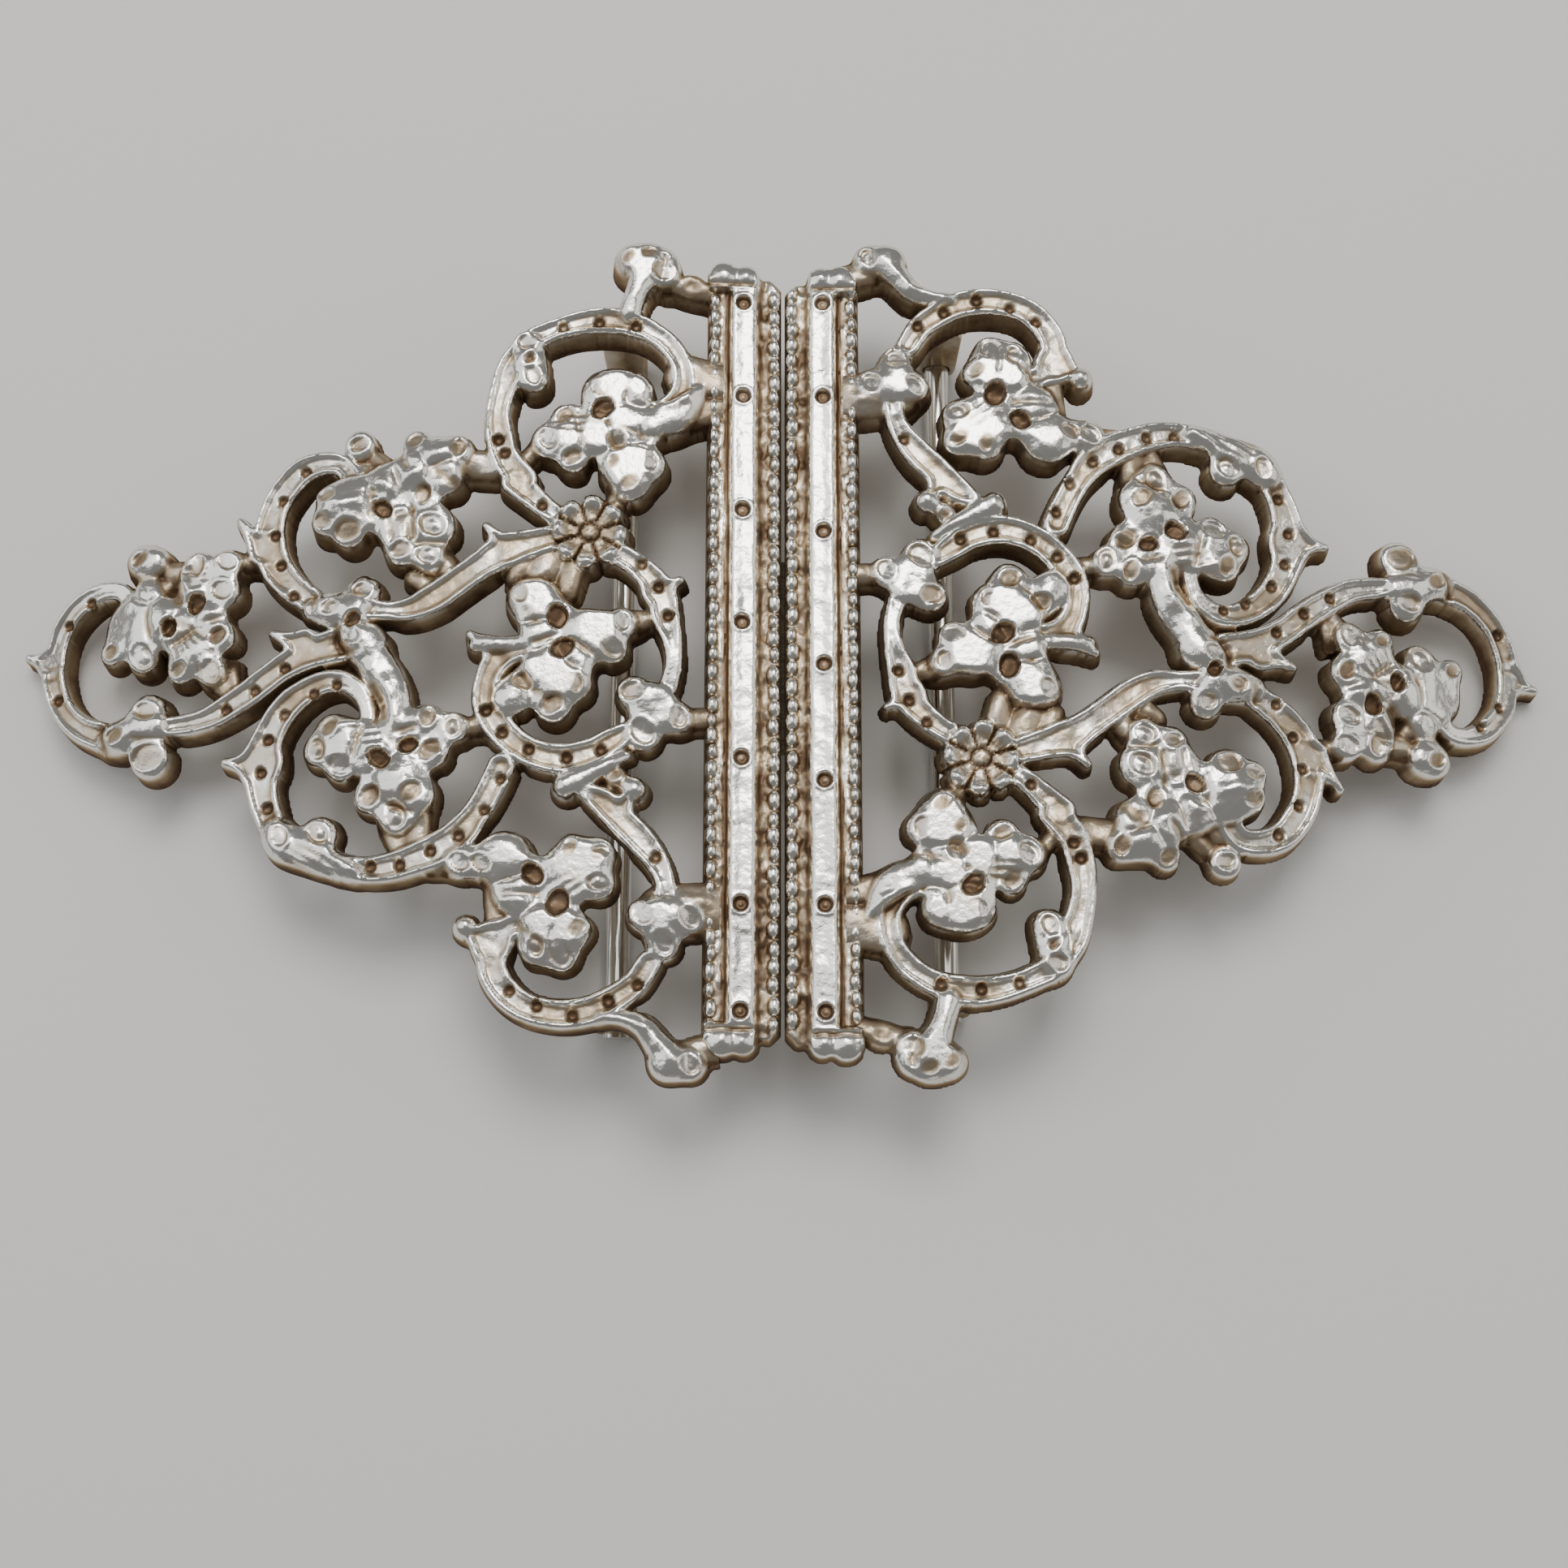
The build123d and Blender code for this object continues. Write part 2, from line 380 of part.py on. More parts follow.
# Left cast half
with BuildPart() as openwork_left:
    add(arched_layer(pierced, CAST_THICK, 0))
    add(arched_layer(sunk_floors.sketch, CHANNEL_DEPTH, ABOVE_ALL), mode=Mode.SUBTRACT)
    add(arched_layer(raised_leaves.sketch, LEAF_ROOT, LEAF_RISE))
    add(arched_layer(knob_tops.sketch, KNOB_ROOT, KNOB_RISE))
    add(arched_layer(petal_crowns.sketch, PETAL_ROOT, PETAL_RISE))

    # Frame bar: grooves, raised band with its punched dots, and bead lines as plain round ridges
    for groove in [WIDE_GROOVE, NARROW_GROOVE]:
        add(arched_layer(bar_strip(*groove), GROOVE_DEPTH, ABOVE_ALL), mode=Mode.SUBTRACT)
    add(arched_layer(bar_strip(BAND_OUTER, BAND_INNER), BAND_ROOT, BAND_RISE))
    for at, radius in BEAD_LINES:
        with BuildSketch(Plane.XZ.offset(-BAR_TOP)):
            with Locations((-at, arch_top(-at))):
                Circle(radius)
        extrude(amount=BAR_TOP - BAR_FOOT)
    with BuildSketch(Plane.XY.offset(arch_top(-BAND_DOT_AT) + BAND_RISE - BAND_DOT_DEPTH)):
        with Locations(*[(-BAND_DOT_AT, y) for y in BAND_DOTS]):
            Circle(BAND_DOT_RADIUS)
    extrude(amount=ABOVE_ALL, mode=Mode.SUBTRACT)

    # Drilled lugs underneath, which hold the belt bar
    lug_top = arch_top(-BELT_BAR_AT) - CAST_THICK + LUG_ROOT
    for lug_at in LUGS_AT:
        with BuildSketch(Plane.XZ.offset(-lug_at)):
            with Locations((-BELT_BAR_AT, BELT_BAR_LEVEL)):
                Circle(LUG_RADIUS)
            with Locations((-BELT_BAR_AT, (BELT_BAR_LEVEL + lug_top) / 2)):
                Rectangle(2 * LUG_RADIUS, lug_top - BELT_BAR_LEVEL)
            with Locations((-BELT_BAR_AT, BELT_BAR_LEVEL)):
                Circle(BELT_BAR_RADIUS + FIT_GAP, mode=Mode.SUBTRACT)
        extrude(amount=LUG_THICK / 2, both=True)
openwork_left.part.label = "openwork_left"
export_step(openwork_left.part, "parts/openwork_left.step")

# Right cast half
with BuildPart() as openwork_right:
    add(openwork_left.part.rotate(Axis.Z, 180))
openwork_right.part.label = "openwork_right"
export_step(openwork_right.part, "parts/openwork_right.step")

# Belt bar of the left half
belt_bar_ends = (min(LUGS_AT) - LUG_THICK / 2 - BELT_BAR_PROUD, max(LUGS_AT) + LUG_THICK / 2 + BELT_BAR_PROUD)
with BuildPart() as belt_bar_left:
    with BuildSketch(Plane.XZ.offset(-belt_bar_ends[1])):
        with Locations((-BELT_BAR_AT, BELT_BAR_LEVEL)):
            Circle(BELT_BAR_RADIUS)
    extrude(amount=belt_bar_ends[1] - belt_bar_ends[0])
belt_bar_left.part.label = "belt_bar_left"
export_step(belt_bar_left.part, "parts/belt_bar_left.step")

# Belt bar of the right half
with BuildPart() as belt_bar_right:
    add(belt_bar_left.part.rotate(Axis.Z, 180))
belt_bar_right.part.label = "belt_bar_right"
export_step(belt_bar_right.part, "parts/belt_bar_right.step")

# Hidden clasp plate under the joint
joint_underside = ARCH_CENTRE + sqrt((ARCH_RADIUS - CAST_THICK)**2 - CROWN_AT**2)
with BuildPart() as clasp_hook:
    with BuildSketch(Plane.XY.offset(joint_underside - SEAT_GAP - CLASP_THICK)):
        RectangleRounded(CLASP_WIDE, CLASP_LONG, CLASP_CORNER)
    extrude(amount=CLASP_THICK)
clasp_hook.part.label = "clasp_hook"
export_step(clasp_hook.part, "parts/clasp_hook.step")

for piece in [openwork_left, openwork_right, belt_bar_left, belt_bar_right, clasp_hook]:
    size = piece.part.bounding_box()
    print(
        piece.part.label, "solids", len(piece.part.solids()), "faces", len(piece.part.faces()),
        "valid", piece.part.is_valid, "volume", round(piece.part.volume, 1),
        "low", tuple(round(v, 2) for v in size.min), "high", tuple(round(v, 2) for v in size.max),
    )
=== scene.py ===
from math import pi

import bmesh
import bpy
import numpy as np
from mathutils import Matrix, Vector


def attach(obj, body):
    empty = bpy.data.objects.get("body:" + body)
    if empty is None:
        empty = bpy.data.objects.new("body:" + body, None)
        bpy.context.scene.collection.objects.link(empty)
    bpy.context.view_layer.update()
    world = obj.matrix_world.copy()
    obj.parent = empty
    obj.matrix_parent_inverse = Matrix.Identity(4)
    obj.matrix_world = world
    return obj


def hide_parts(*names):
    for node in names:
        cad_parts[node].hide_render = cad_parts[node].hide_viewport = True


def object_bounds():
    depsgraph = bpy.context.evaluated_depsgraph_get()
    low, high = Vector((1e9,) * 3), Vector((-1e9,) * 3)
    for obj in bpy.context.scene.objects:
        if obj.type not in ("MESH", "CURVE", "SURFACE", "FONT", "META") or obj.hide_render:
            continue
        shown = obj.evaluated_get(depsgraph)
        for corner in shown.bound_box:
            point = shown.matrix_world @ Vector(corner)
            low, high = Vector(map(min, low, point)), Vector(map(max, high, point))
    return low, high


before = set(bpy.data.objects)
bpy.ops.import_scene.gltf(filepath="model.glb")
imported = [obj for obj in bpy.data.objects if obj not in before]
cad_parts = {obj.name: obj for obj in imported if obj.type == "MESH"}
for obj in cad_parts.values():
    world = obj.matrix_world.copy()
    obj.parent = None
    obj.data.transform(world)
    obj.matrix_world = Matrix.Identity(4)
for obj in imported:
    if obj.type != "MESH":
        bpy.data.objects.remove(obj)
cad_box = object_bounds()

MM = 0.001

# Corners of the left half's box, up to the joint, in millimetres
JOINT_HALF_GAP = 0.11
CAD_LOW, CAD_HIGH = [np.array(corner) / MM for corner in cad_box]
BOX_LOW = np.array([max(CAD_LOW[0], -CAD_HIGH[0]), max(CAD_LOW[1], -CAD_HIGH[1]), CAD_LOW[2]])
BOX_HIGH = np.array([-JOINT_HALF_GAP, min(CAD_HIGH[1], -CAD_LOW[1]), CAD_HIGH[2]])

# Shape of the casting, in millimetres
# The left half is made; the right half is the same piece turned by 180 degrees about the joint line's middle.
CAST_THICK = 2.3
CROWN_TOP = 8.88
CROWN_AT = 11.3
ARCH_RADIUS = 107.2
ARCH_CENTRE = CROWN_TOP - ARCH_RADIUS

# Relief, as levels beside the arched top surface
CHANNEL_DEPTH = 0.34       # floor of a scroll band
CHANNEL_WIDTH = (0.5, 0.85)  # half widths at which a band starts to have a floor, and has all its depth
RIM = 0.4                  # rim beside it
RIM_SLOPE = 0.34           # run from the rim down to the floor
EDGE_ROUND = 0.34          # rounding of outer edges
EDGE_DROP = 0.34
EDGE_SOFT = 0.08           # run over which what lies on a lobe fades out at its outline
OUTER_SLOPE = 3.0          # fall outside an edge, for each millimetre
PILLOW_REACH = 0.5         # how far in the round flanks of flowers and leaves reach, about half of it
PILLOW_SHARE = (0.22, 0.7)  # share of metal round a point at the foot of the flanks, and the gain above it
PILLOW_LOW = -0.66         # level at the foot of the flanks
PILLOW_RISE = 0.72         # and how much higher the middle of a wide lobe lies
PETAL_BLEND = 0.7
PETAL_RIPPLE = 0.08        # uneven height of petals
DOME = 0.55                # swelling of each lobe above that
DOME_ROUND = 1.3           # how far out the swelling reaches, squared, in radii
DOME_FULL = 1.5            # radius from which a lobe swells fully
DOME_BLEND = 0.15
PETAL_FOLD = 0.2           # soft folds between lobes
FOLD_WIDTH = 0.55
KNOB_BUMP = 0.14           # small swelling under a dish
BUMP_REACH = 0.8           # its reach, in radii
EYE_DEPTH = 0.17
EYE_DIP = -0.04            # middle of a plain dish
EYE_OVAL = 0.13            # how far dishes are out of round
EYE_TILT = 0.6             # and how much deeper on one side
DEEP_EYE_DEPTH = 0.5
EYE_BOSS = 0.12            # swelling in the middle of some dishes
EYE_LIP = 0.05             # raised line round a dish
WEB_DROP = 0.55            # webs lie lower than leaves by this
VALLEY = -1.0              # lowest metal between neighbouring lobes
BLEND = 0.35               # smooth joining of outlines
CREASE = 0.25              # smooth joining of levels
DRAFT = 0.24               # walls run outward by this to the back
WALL_PROBE = 0.5           # less where other metal is nearer than this
RIM_FALL = (0.5, 0.02)     # most and least fall from the outermost grid points to the rim
SLIVER = 0.45              # openings narrower than twice this are cast shut
SLIVER_STEPS = 60          # grid steps that the open parts are grown back by, to find them
TOP_BLEND = 0.08           # smooth stop of the relief at the highest level

# Rows of points down the walls; columns: share of the height, share of the draft, painted shade and tarnish,
# darker towards the back
WALL_ROWS = [(0.25, 0.35, 0.7), (0.9, 1.0, 1.0), (1.0, 0.85, 1.0)]
# Least painted shade at the rim, where the walls' painted shade starts
RIM_PAINTED_SHADE = 0.3
BACK_STAIN = 0.3
LUG_STAIN = 0.45

# Tarnish in hollows, which lie lower than what is round them; columns: reach, least grid steps, gain, most
HOLLOWS = [(0.3, 1, 3.4, 0.8), (0.8, 2, 1.4, 0.7)]
HOLLOW_STAIN = 0.5
LOW_STAIN = 0.12           # tarnish of all that lies low
FLANK_TARNISH_AND_SHADE = 0.12         # tarnish and painted dark reflection on steep flanks
# Tarnish and painted shade of the webs, which lie low between the scrolls
WEB_TARNISH_AND_SHADE = 0.5
FLOOR_STAIN = 0.32         # floors of scroll bands
FLOOR_MOTTLE = 0.22
PATCH_STAIN = (0.1, 0.22)  # mottling everywhere, and in low places and hollows
# Lumps of noise; columns: height or share, size, seed
PATCHES = [(0.6, 2.6, 21), (0.4, 0.7, 22)]
SKIN = [(0.06, 1.1, 23), (0.035, 0.5, 24), (0.012, 0.27, 25)]
SCROLL_SKIN = 0.9
BAR_SKIN = 0.45

# Grids; columns of the two areas: lowest x, highest x, lowest y, highest y
SCROLL_GRID = (-48.3, -3.6, -26.9, 27.0)
BAR_GRID = (-4.9, -0.05, -25.1, 25.3)
SCROLL_STEP = 0.12         # grid of the scrollwork
BAR_STEP = 0.085           # grid of the frame bar
BACK_BLOCK = 3             # grid cells joined on the plain back
SHARP = 1.1                # edges turned by more than this stay crisp, in radians

# Scroll bands with a sunk floor; columns: x, y, width along the middle of the band
CHANNEL_BANDS = {
    "tip_ring": [
        (-41.2, -4.95, 1.9), (-43.2, -4.1, 1.65), (-44.6, -2.7, 1.6), (-45.4, -0.7, 1.7),
        (-45.4, 1.1, 1.6), (-44.8, 2.75, 1.5), (-43.6, 4.05, 1.45), (-42.2, 4.6, 1.25),
        (-41.0, 4.4, 1.2), (-40.4, 3.5, 1.3)],
    "tip_band": [
        (-38.2, -4.6, 1.2), (-36.6, -4.45, 1.4), (-35.1, -4.2, 1.5), (-33.6, -3.5, 1.7),
        (-31.9, -2.4, 1.8), (-30.3, -1.2, 1.8), (-28.6, -0.35, 2.0), (-26.8, 0.1, 2.2)],
    "mid_ring": [
        (-28.2, 2.7, 1.6), (-30.0, 4.1, 1.9), (-31.1, 5.6, 2.1), (-31.5, 7.3, 2.1),
        (-31.3, 8.9, 1.9), (-30.7, 10.2, 1.9), (-29.6, 11.4, 1.8), (-28.2, 11.85, 1.6),
        (-27.0, 11.6, 1.5), (-26.2, 10.5, 1.5)],
    "mid_band": [
        (-26.2, 2.3, 1.9), (-25.0, 2.25, 1.5), (-23.8, 2.15, 1.3), (-22.4, 2.25, 1.6),
        (-21.0, 2.9, 1.9), (-19.6, 3.9, 1.9), (-18.2, 4.9, 1.9), (-16.9, 5.75, 2.2),
        (-15.4, 6.2, 1.9), (-13.9, 6.6, 1.6)],
    "top_leg": [
        (-15.9, 10.3, 2.0), (-16.9, 11.7, 1.8), (-17.35, 13.2, 1.8), (-17.5, 14.7, 1.6),
        (-17.25, 16.2, 1.7), (-16.7, 17.7, 2.0), (-15.7, 19.2, 1.9)],
    "rose_band": [(-16.3, 10.2, 1.8), (-15.3, 9.3, 1.6), (-14.4, 8.5, 1.4), (-13.6, 7.9, 1.3)],
    "top_ring": [
        (-15.3, 19.6, 1.6), (-14.0, 20.2, 1.5), (-12.5, 20.65, 1.65), (-10.8, 20.8, 1.8),
        (-9.2, 20.5, 1.6), (-8.0, 19.95, 1.5), (-6.9, 19.0, 1.5), (-6.25, 17.8, 1.4),
        (-6.1, 16.6, 1.5), (-6.6, 15.4, 1.6), (-7.8, 14.7, 1.5), (-9.2, 14.8, 1.5)],
    "side_band": [
        (-10.6, 5.9, 1.5), (-9.3, 5.2, 1.5), (-8.1, 4.2, 1.7), (-7.3, 3.0, 1.9),
        (-7.05, 1.7, 1.8), (-6.65, 0.3, 1.3), (-6.5, -1.2, 1.1), (-6.8, -2.6, 1.2)],
    "core_ring": [
        (-14.2, -0.55, 1.4), (-15.8, -0.6, 1.3), (-17.0, -1.1, 1.7), (-17.6, -2.3, 1.6),
        (-17.6, -3.6, 1.8), (-17.0, -4.9, 1.9), (-15.9, -6.1, 1.8), (-14.6, -6.85, 1.8),
        (-13.0, -7.15, 1.9), (-11.4, -6.8, 1.8), (-10.2, -6.1, 1.7), (-9.2, -5.4, 1.3)],
    "low_band": [
        (-11.7, -9.0, 1.0), (-10.5, -9.8, 1.7), (-9.4, -10.9, 1.8), (-8.3, -12.0, 1.8),
        (-7.4, -13.2, 1.5), (-6.85, -14.4, 1.3), (-6.7, -15.8, 1.4)],
    "foot_ring": [
        (-14.6, -16.8, 1.2), (-15.9, -17.2, 1.5), (-16.7, -18.3, 1.7), (-16.7, -19.6, 1.8),
        (-15.9, -20.9, 1.75), (-14.6, -21.8, 1.7), (-12.8, -22.15, 1.75), (-11.1, -21.95, 1.75),
        (-9.7, -21.3, 1.7), (-8.5, -20.4, 1.6), (-7.7, -19.2, 1.5)],
    "lower_ring": [
        (-24.6, -4.9, 1.0), (-25.0, -3.3, 1.1), (-26.2, -2.2, 1.3), (-27.6, -2.2, 1.5),
        (-28.9, -2.85, 1.7), (-30.0, -3.9, 1.9), (-30.75, -5.3, 2.0), (-31.1, -6.7, 2.4),
        (-31.1, -8.1, 2.1), (-30.8, -9.5, 1.9), (-30.2, -11.0, 1.7)],
    "lower_band": [
        (-26.0, -13.4, 1.5), (-24.4, -13.65, 1.6), (-22.9, -13.5, 1.8), (-21.6, -13.1, 1.9),
        (-20.2, -12.5, 2.1), (-18.9, -11.6, 2.0), (-18.0, -10.4, 1.7), (-17.2, -9.0, 1.7),
        (-16.6, -7.6, 1.7)],
}

# Leaves and stems; the same columns
LEAF_BANDS = {
    "tip_leaf": [(-41.2, -5.05, 1.7), (-40.3, -5.0, 1.85), (-39.2, -4.6, 1.6), (-37.8, -4.55, 1.3)],
    "mid_leaf": [(-28.4, 2.45, 1.5), (-27.2, 2.3, 1.9), (-25.8, 2.3, 1.6)],
    "foot_tail": [
        (-10.6, -22.3, 0.8), (-9.2, -22.35, 0.9), (-8.0, -22.8, 1.3), (-7.1, -23.9, 1.6),
        (-6.4, -24.8, 2.1)],
    "lower_leaf": [
        (-30.1, -11.2, 1.7), (-29.4, -12.0, 2.1), (-28.0, -12.6, 2.0), (-26.6, -13.2, 1.7),
        (-25.2, -13.7, 1.3)],
    "link_strand": [
        (-25.4, 0.4, 2.2), (-24.4, -1.1, 2.3), (-23.5, -2.5, 2.3), (-23.0, -3.9, 2.0),
        (-23.1, -5.3, 2.2)],
    "core_wall": [(-18.3, 0.0, 1.2), (-16.8, -0.1, 1.0), (-15.0, 0.0, 1.0), (-13.5, 0.1, 1.0)],
    "core_leaf": [(-12.7, -8.7, 1.5), (-11.6, -8.2, 1.2), (-10.4, -7.55, 0.9), (-9.1, -6.8, 0.6)],
    "top_stem": [(-8.4, 24.2, 2.3), (-9.0, 22.9, 1.5), (-9.5, 21.3, 1.5)],
}

# Thorns; columns: tip x, tip y, root x, root y, root width
THORNS = [
    (-47.75, 1.05, -45.9, 0.5, 2.0),
    (-31.15, 1.1, -28.9, 0.2, 2.2),
    (-33.6, 8.6, -31.9, 6.4, 1.9),
    (-18.95, 0.7, -17.0, -0.5, 1.9),
    (-5.95, 4.05, -7.6, 3.2, 1.9),
    (-33.75, -6.85, -31.2, -7.1, 2.9),
    (-18.15, 7.6, -16.6, 5.8, 1.9),
    (-19.0, -17.0, -16.8, -18.0, 2.6),
    (-8.4, -8.6, -9.6, -10.2, 1.6),
]

THORN_TIP = 0.55           # width of a thorn at its tip

# Webs between the scrolls; columns: from x, from y, to x, to y, width
WEBS = [
    (-33.6, 5.9, -32.0, 5.9, 1.3), (-33.5, -0.6, -33.1, -2.4, 0.7), (-19.9, 11.6, -17.6, 11.4, 2.0),
    (-7.2, 23.5, -5.6, 23.3, 1.2), (-5.8, 23.3, -4.2, 22.7, 1.2), (-5.9, 17.2, -4.2, 16.8, 3.0),
    (-6.6, 14.6, -4.2, 15.2, 2.2), (-6.6, -4.6, -4.2, -4.5, 1.4), (-6.9, -16.1, -4.2, -16.0, 3.2),
    (-6.0, -24.6, -3.9, -24.0, 1.8), (-10.1, 9.6, -10.3, 8.4, 1.3), (-19.8, -5.1, -17.9, -5.0, 1.3),
    (-20.5, -13.2, -17.4, -13.3, 1.6), (-16.7, -14.4, -16.5, -17.2, 1.6),
    (-21.4, -10.0, -21.4, -12.6, 1.5), (-25.6, 12.3, -23.6, 10.8, 1.5), (-12.4, 5.3, -13.0, 3.2, 1.3),
    (-14.6, 4.4, -14.0, 5.8, 1.5), (-16.2, 4.2, -15.6, 5.4, 1.3), (-22.4, 4.4, -21.2, 3.4, 1.2),
    (-20.6, 5.4, -19.9, 4.4, 1.4), (-25.6, 11.6, -24.4, 10.0, 2.0), (-39.9, 5.9, -38.6, 4.4, 1.9),
    (-38.4, 5.6, -36.8, 5.4, 1.6), (-9.6, -8.3, -10.4, -9.2, 1.0), (-23.4, -11.0, -22.6, -12.6, 1.0),
    (-35.0, -1.2, -33.5, -2.6, 1.2), (-12.0, 1.0, -9.0, 1.4, 1.4), (-8.9, 1.4, -7.6, 1.7, 1.0),
    (-14.6, 13.2, -15.9, 11.6, 1.1),
]

# Knobs and petals; columns: x, y, radius, radius of the punched eye or 0 for none
KNOBS = {
    "tip_flower": [
        (-40.1, 2.1, 1.9, 0), (-41.4, 0.5, 0.8, 0.45), (-39.2, 0.05, 1.05, 0.7), (-38.2, 2.3, 1.5, 0),
        (-37.45, 1.65, 0.85, 0.5), (-37.0, 1.6, 1.3, 0), (-36.0, 0.2, 1.4, 0), (-34.6, -1.2, 0.95, 0.6),
        (-36.7, -1.0, 0.85, 0.45), (-34.3, 1.0, 1.05, 0.5), (-35.8, 3.1, 1.0, 0.6), (-34.2, 3.9, 1.1, 0.6),
        (-36.0, 5.6, 1.05, 0.55), (-34.0, 5.7, 0.95, 0.55), (-36.2, 4.3, 1.1, 0), (-39.8, 6.3, 1.05, 0.5),
        (-39.0, 6.2, 1.0, 0), (-39.2, 4.0, 1.0, 0), (-35.0, 2.2, 1.0, 0)],
    "tip_leaf": [(-40.5, -5.0, 0.95, 0.5), (-38.6, -3.55, 1.2, 0.6), (-38.3, -6.4, 1.25, 0.85)],
    "mid_flower": [
        (-26.2, 9.0, 1.9, 0), (-27.7, 9.4, 0.85, 0.5), (-27.9, 7.8, 0.85, 0.5), (-26.4, 7.2, 1.0, 0.7),
        (-24.3, 8.5, 1.3, 0.55), (-24.4, 10.3, 1.3, 0), (-23.2, 7.2, 1.4, 0), (-23.1, 5.9, 0.95, 0.5),
        (-21.4, 5.5, 1.0, 0.6), (-21.2, 7.4, 1.4, 0.7), (-21.9, 9.4, 1.0, 0.55), (-22.7, 10.9, 1.3, 0),
        (-21.1, 12.0, 1.2, 0), (-19.8, 12.3, 0.95, 0.5), (-22.5, 12.9, 0.8, 0.5), (-20.6, 10.6, 1.2, 0),
        (-26.1, 13.0, 1.0, 0.5)],
    "mid_leaf": [
        (-27.2, 2.35, 0.95, 0.5), (-25.3, 3.4, 1.05, 0.5), (-25.8, 1.5, 0.75, 0.45), (-25.8, 0.5, 1.0, 0.5)],
    "top_leaf": [(-15.8, 19.2, 0.95, 0.5), (-15.4, 17.0, 1.0, 0.5), (-15.6, 18.1, 1.0, 0.3)],
    "top_flower": [
        (-10.3, 16.1, 1.45, 0), (-11.2, 16.0, 1.2, 0.5), (-9.1, 16.0, 1.2, 0), (-11.0, 14.7, 1.1, 0.65),
        (-13.1, 13.0, 1.3, 0), (-14.3, 12.8, 1.1, 0.6), (-11.5, 13.2, 1.4, 0), (-13.3, 14.4, 0.85, 0.5),
        (-12.8, 11.6, 0.9, 0.5), (-10.1, 12.6, 1.1, 0.6), (-9.3, 10.9, 1.6, 0), (-8.1, 11.3, 1.0, 0.5),
        (-9.3, 9.9, 1.0, 0.5), (-10.3, 11.2, 0.9, 0.4), (-9.6, 13.7, 1.4, 0), (-8.1, 13.6, 1.0, 0)],
    "core_flower": [
        (-14.8, 2.4, 1.6, 0), (-15.7, 2.9, 0.85, 0.5), (-13.45, 1.5, 1.1, 0.65), (-11.4, 0.5, 1.6, 0),
        (-9.6, 1.2, 0.95, 0.5), (-10.2, -0.4, 0.95, 0.6), (-13.1, -0.5, 0.9, 0.65), (-13.7, -2.1, 1.9, 0),
        (-12.3, -2.6, 1.0, 0.5), (-13.6, -3.9, 1.1, 0.6), (-15.4, -2.5, 0.9, 0.55), (-12.4, -0.9, 1.2, 0),
        (-14.6, 0.4, 1.2, 0), (-16.2, -3.4, 1.2, 0)],
    "side_knobs": [
        (-8.9, -3.0, 1.0, 0.6), (-7.7, -3.9, 1.5, 0), (-8.3, -5.5, 1.15, 0.7), (-6.2, -4.6, 0.95, 0.55)],
    "low_thorn_knobs": [(-8.7, -9.0, 0.75, 0), (-9.9, -8.15, 0.6, 0.35), (-12.8, -8.8, 0.8, 0)],
    "gate_knobs": [
        (-8.1, -16.4, 0.95, 0.55), (-6.9, -16.6, 1.3, 0), (-6.9, -18.1, 1.0, 0.6), (-5.4, -16.6, 1.0, 0.55)],
    "foot_flower": [
        (-16.2, -13.1, 1.65, 0), (-17.5, -13.4, 0.9, 0.5), (-14.5, -14.1, 1.1, 0.6), (-12.0, -13.8, 1.9, 0),
        (-12.4, -12.6, 0.9, 0.5), (-10.7, -12.9, 1.0, 0.5), (-10.7, -14.6, 0.95, 0.55),
        (-13.0, -15.8, 1.1, 0.7), (-13.9, -17.2, 1.3, 0), (-12.7, -17.4, 1.2, 0), (-11.9, -17.3, 0.9, 0.5),
        (-12.8, -18.7, 1.05, 0.7), (-14.2, -18.3, 1.1, 0.5), (-15.6, -15.2, 1.3, 0), (-18.4, -17.1, 0.75, 0),
        (-18.8, -13.3, 1.0, 0.55)],
    "lower_flower": [
        (-26.0, -5.9, 1.5, 0), (-27.6, -6.4, 1.0, 0.55), (-26.9, -5.1, 0.9, 0.5), (-26.2, -7.4, 0.95, 0.6),
        (-24.4, -6.3, 1.6, 0), (-23.8, -7.1, 1.2, 0.6), (-24.3, -9.3, 1.05, 0.6), (-22.7, -10.5, 1.15, 0.7),
        (-21.8, -9.2, 1.4, 0.6), (-22.6, -8.3, 1.5, 0), (-22.1, -6.3, 1.1, 0.5), (-20.8, -6.6, 1.1, 0.6),
        (-21.0, -4.6, 0.85, 0.5), (-19.5, -5.2, 0.95, 0.6), (-21.9, -5.0, 1.1, 0)],
    "lower_leaf": [(-29.6, -11.6, 0.95, 0.55), (-27.3, -11.5, 1.1, 0.6)],
    "junction": [(-25.0, 0.0, 1.4, 0)],
    "top_knob": [
        (-8.9, 24.75, 1.15, 0), (-9.6, 24.8, 0.9, 0.4), (-8.3, 25.15, 0.85, 0.45), (-7.4, 24.0, 1.0, 0.6),
        (-7.4, 24.8, 0.8, 0.3)],
    "foot_knob": [(-6.6, -24.85, 1.1, 0), (-5.3, -25.0, 0.95, 0.5)],
}

# Dots along the frame bar; their y
BAND_DOTS = [22.0, 15.8, 8.4, 1.3, -7.05, -15.75, -21.95]


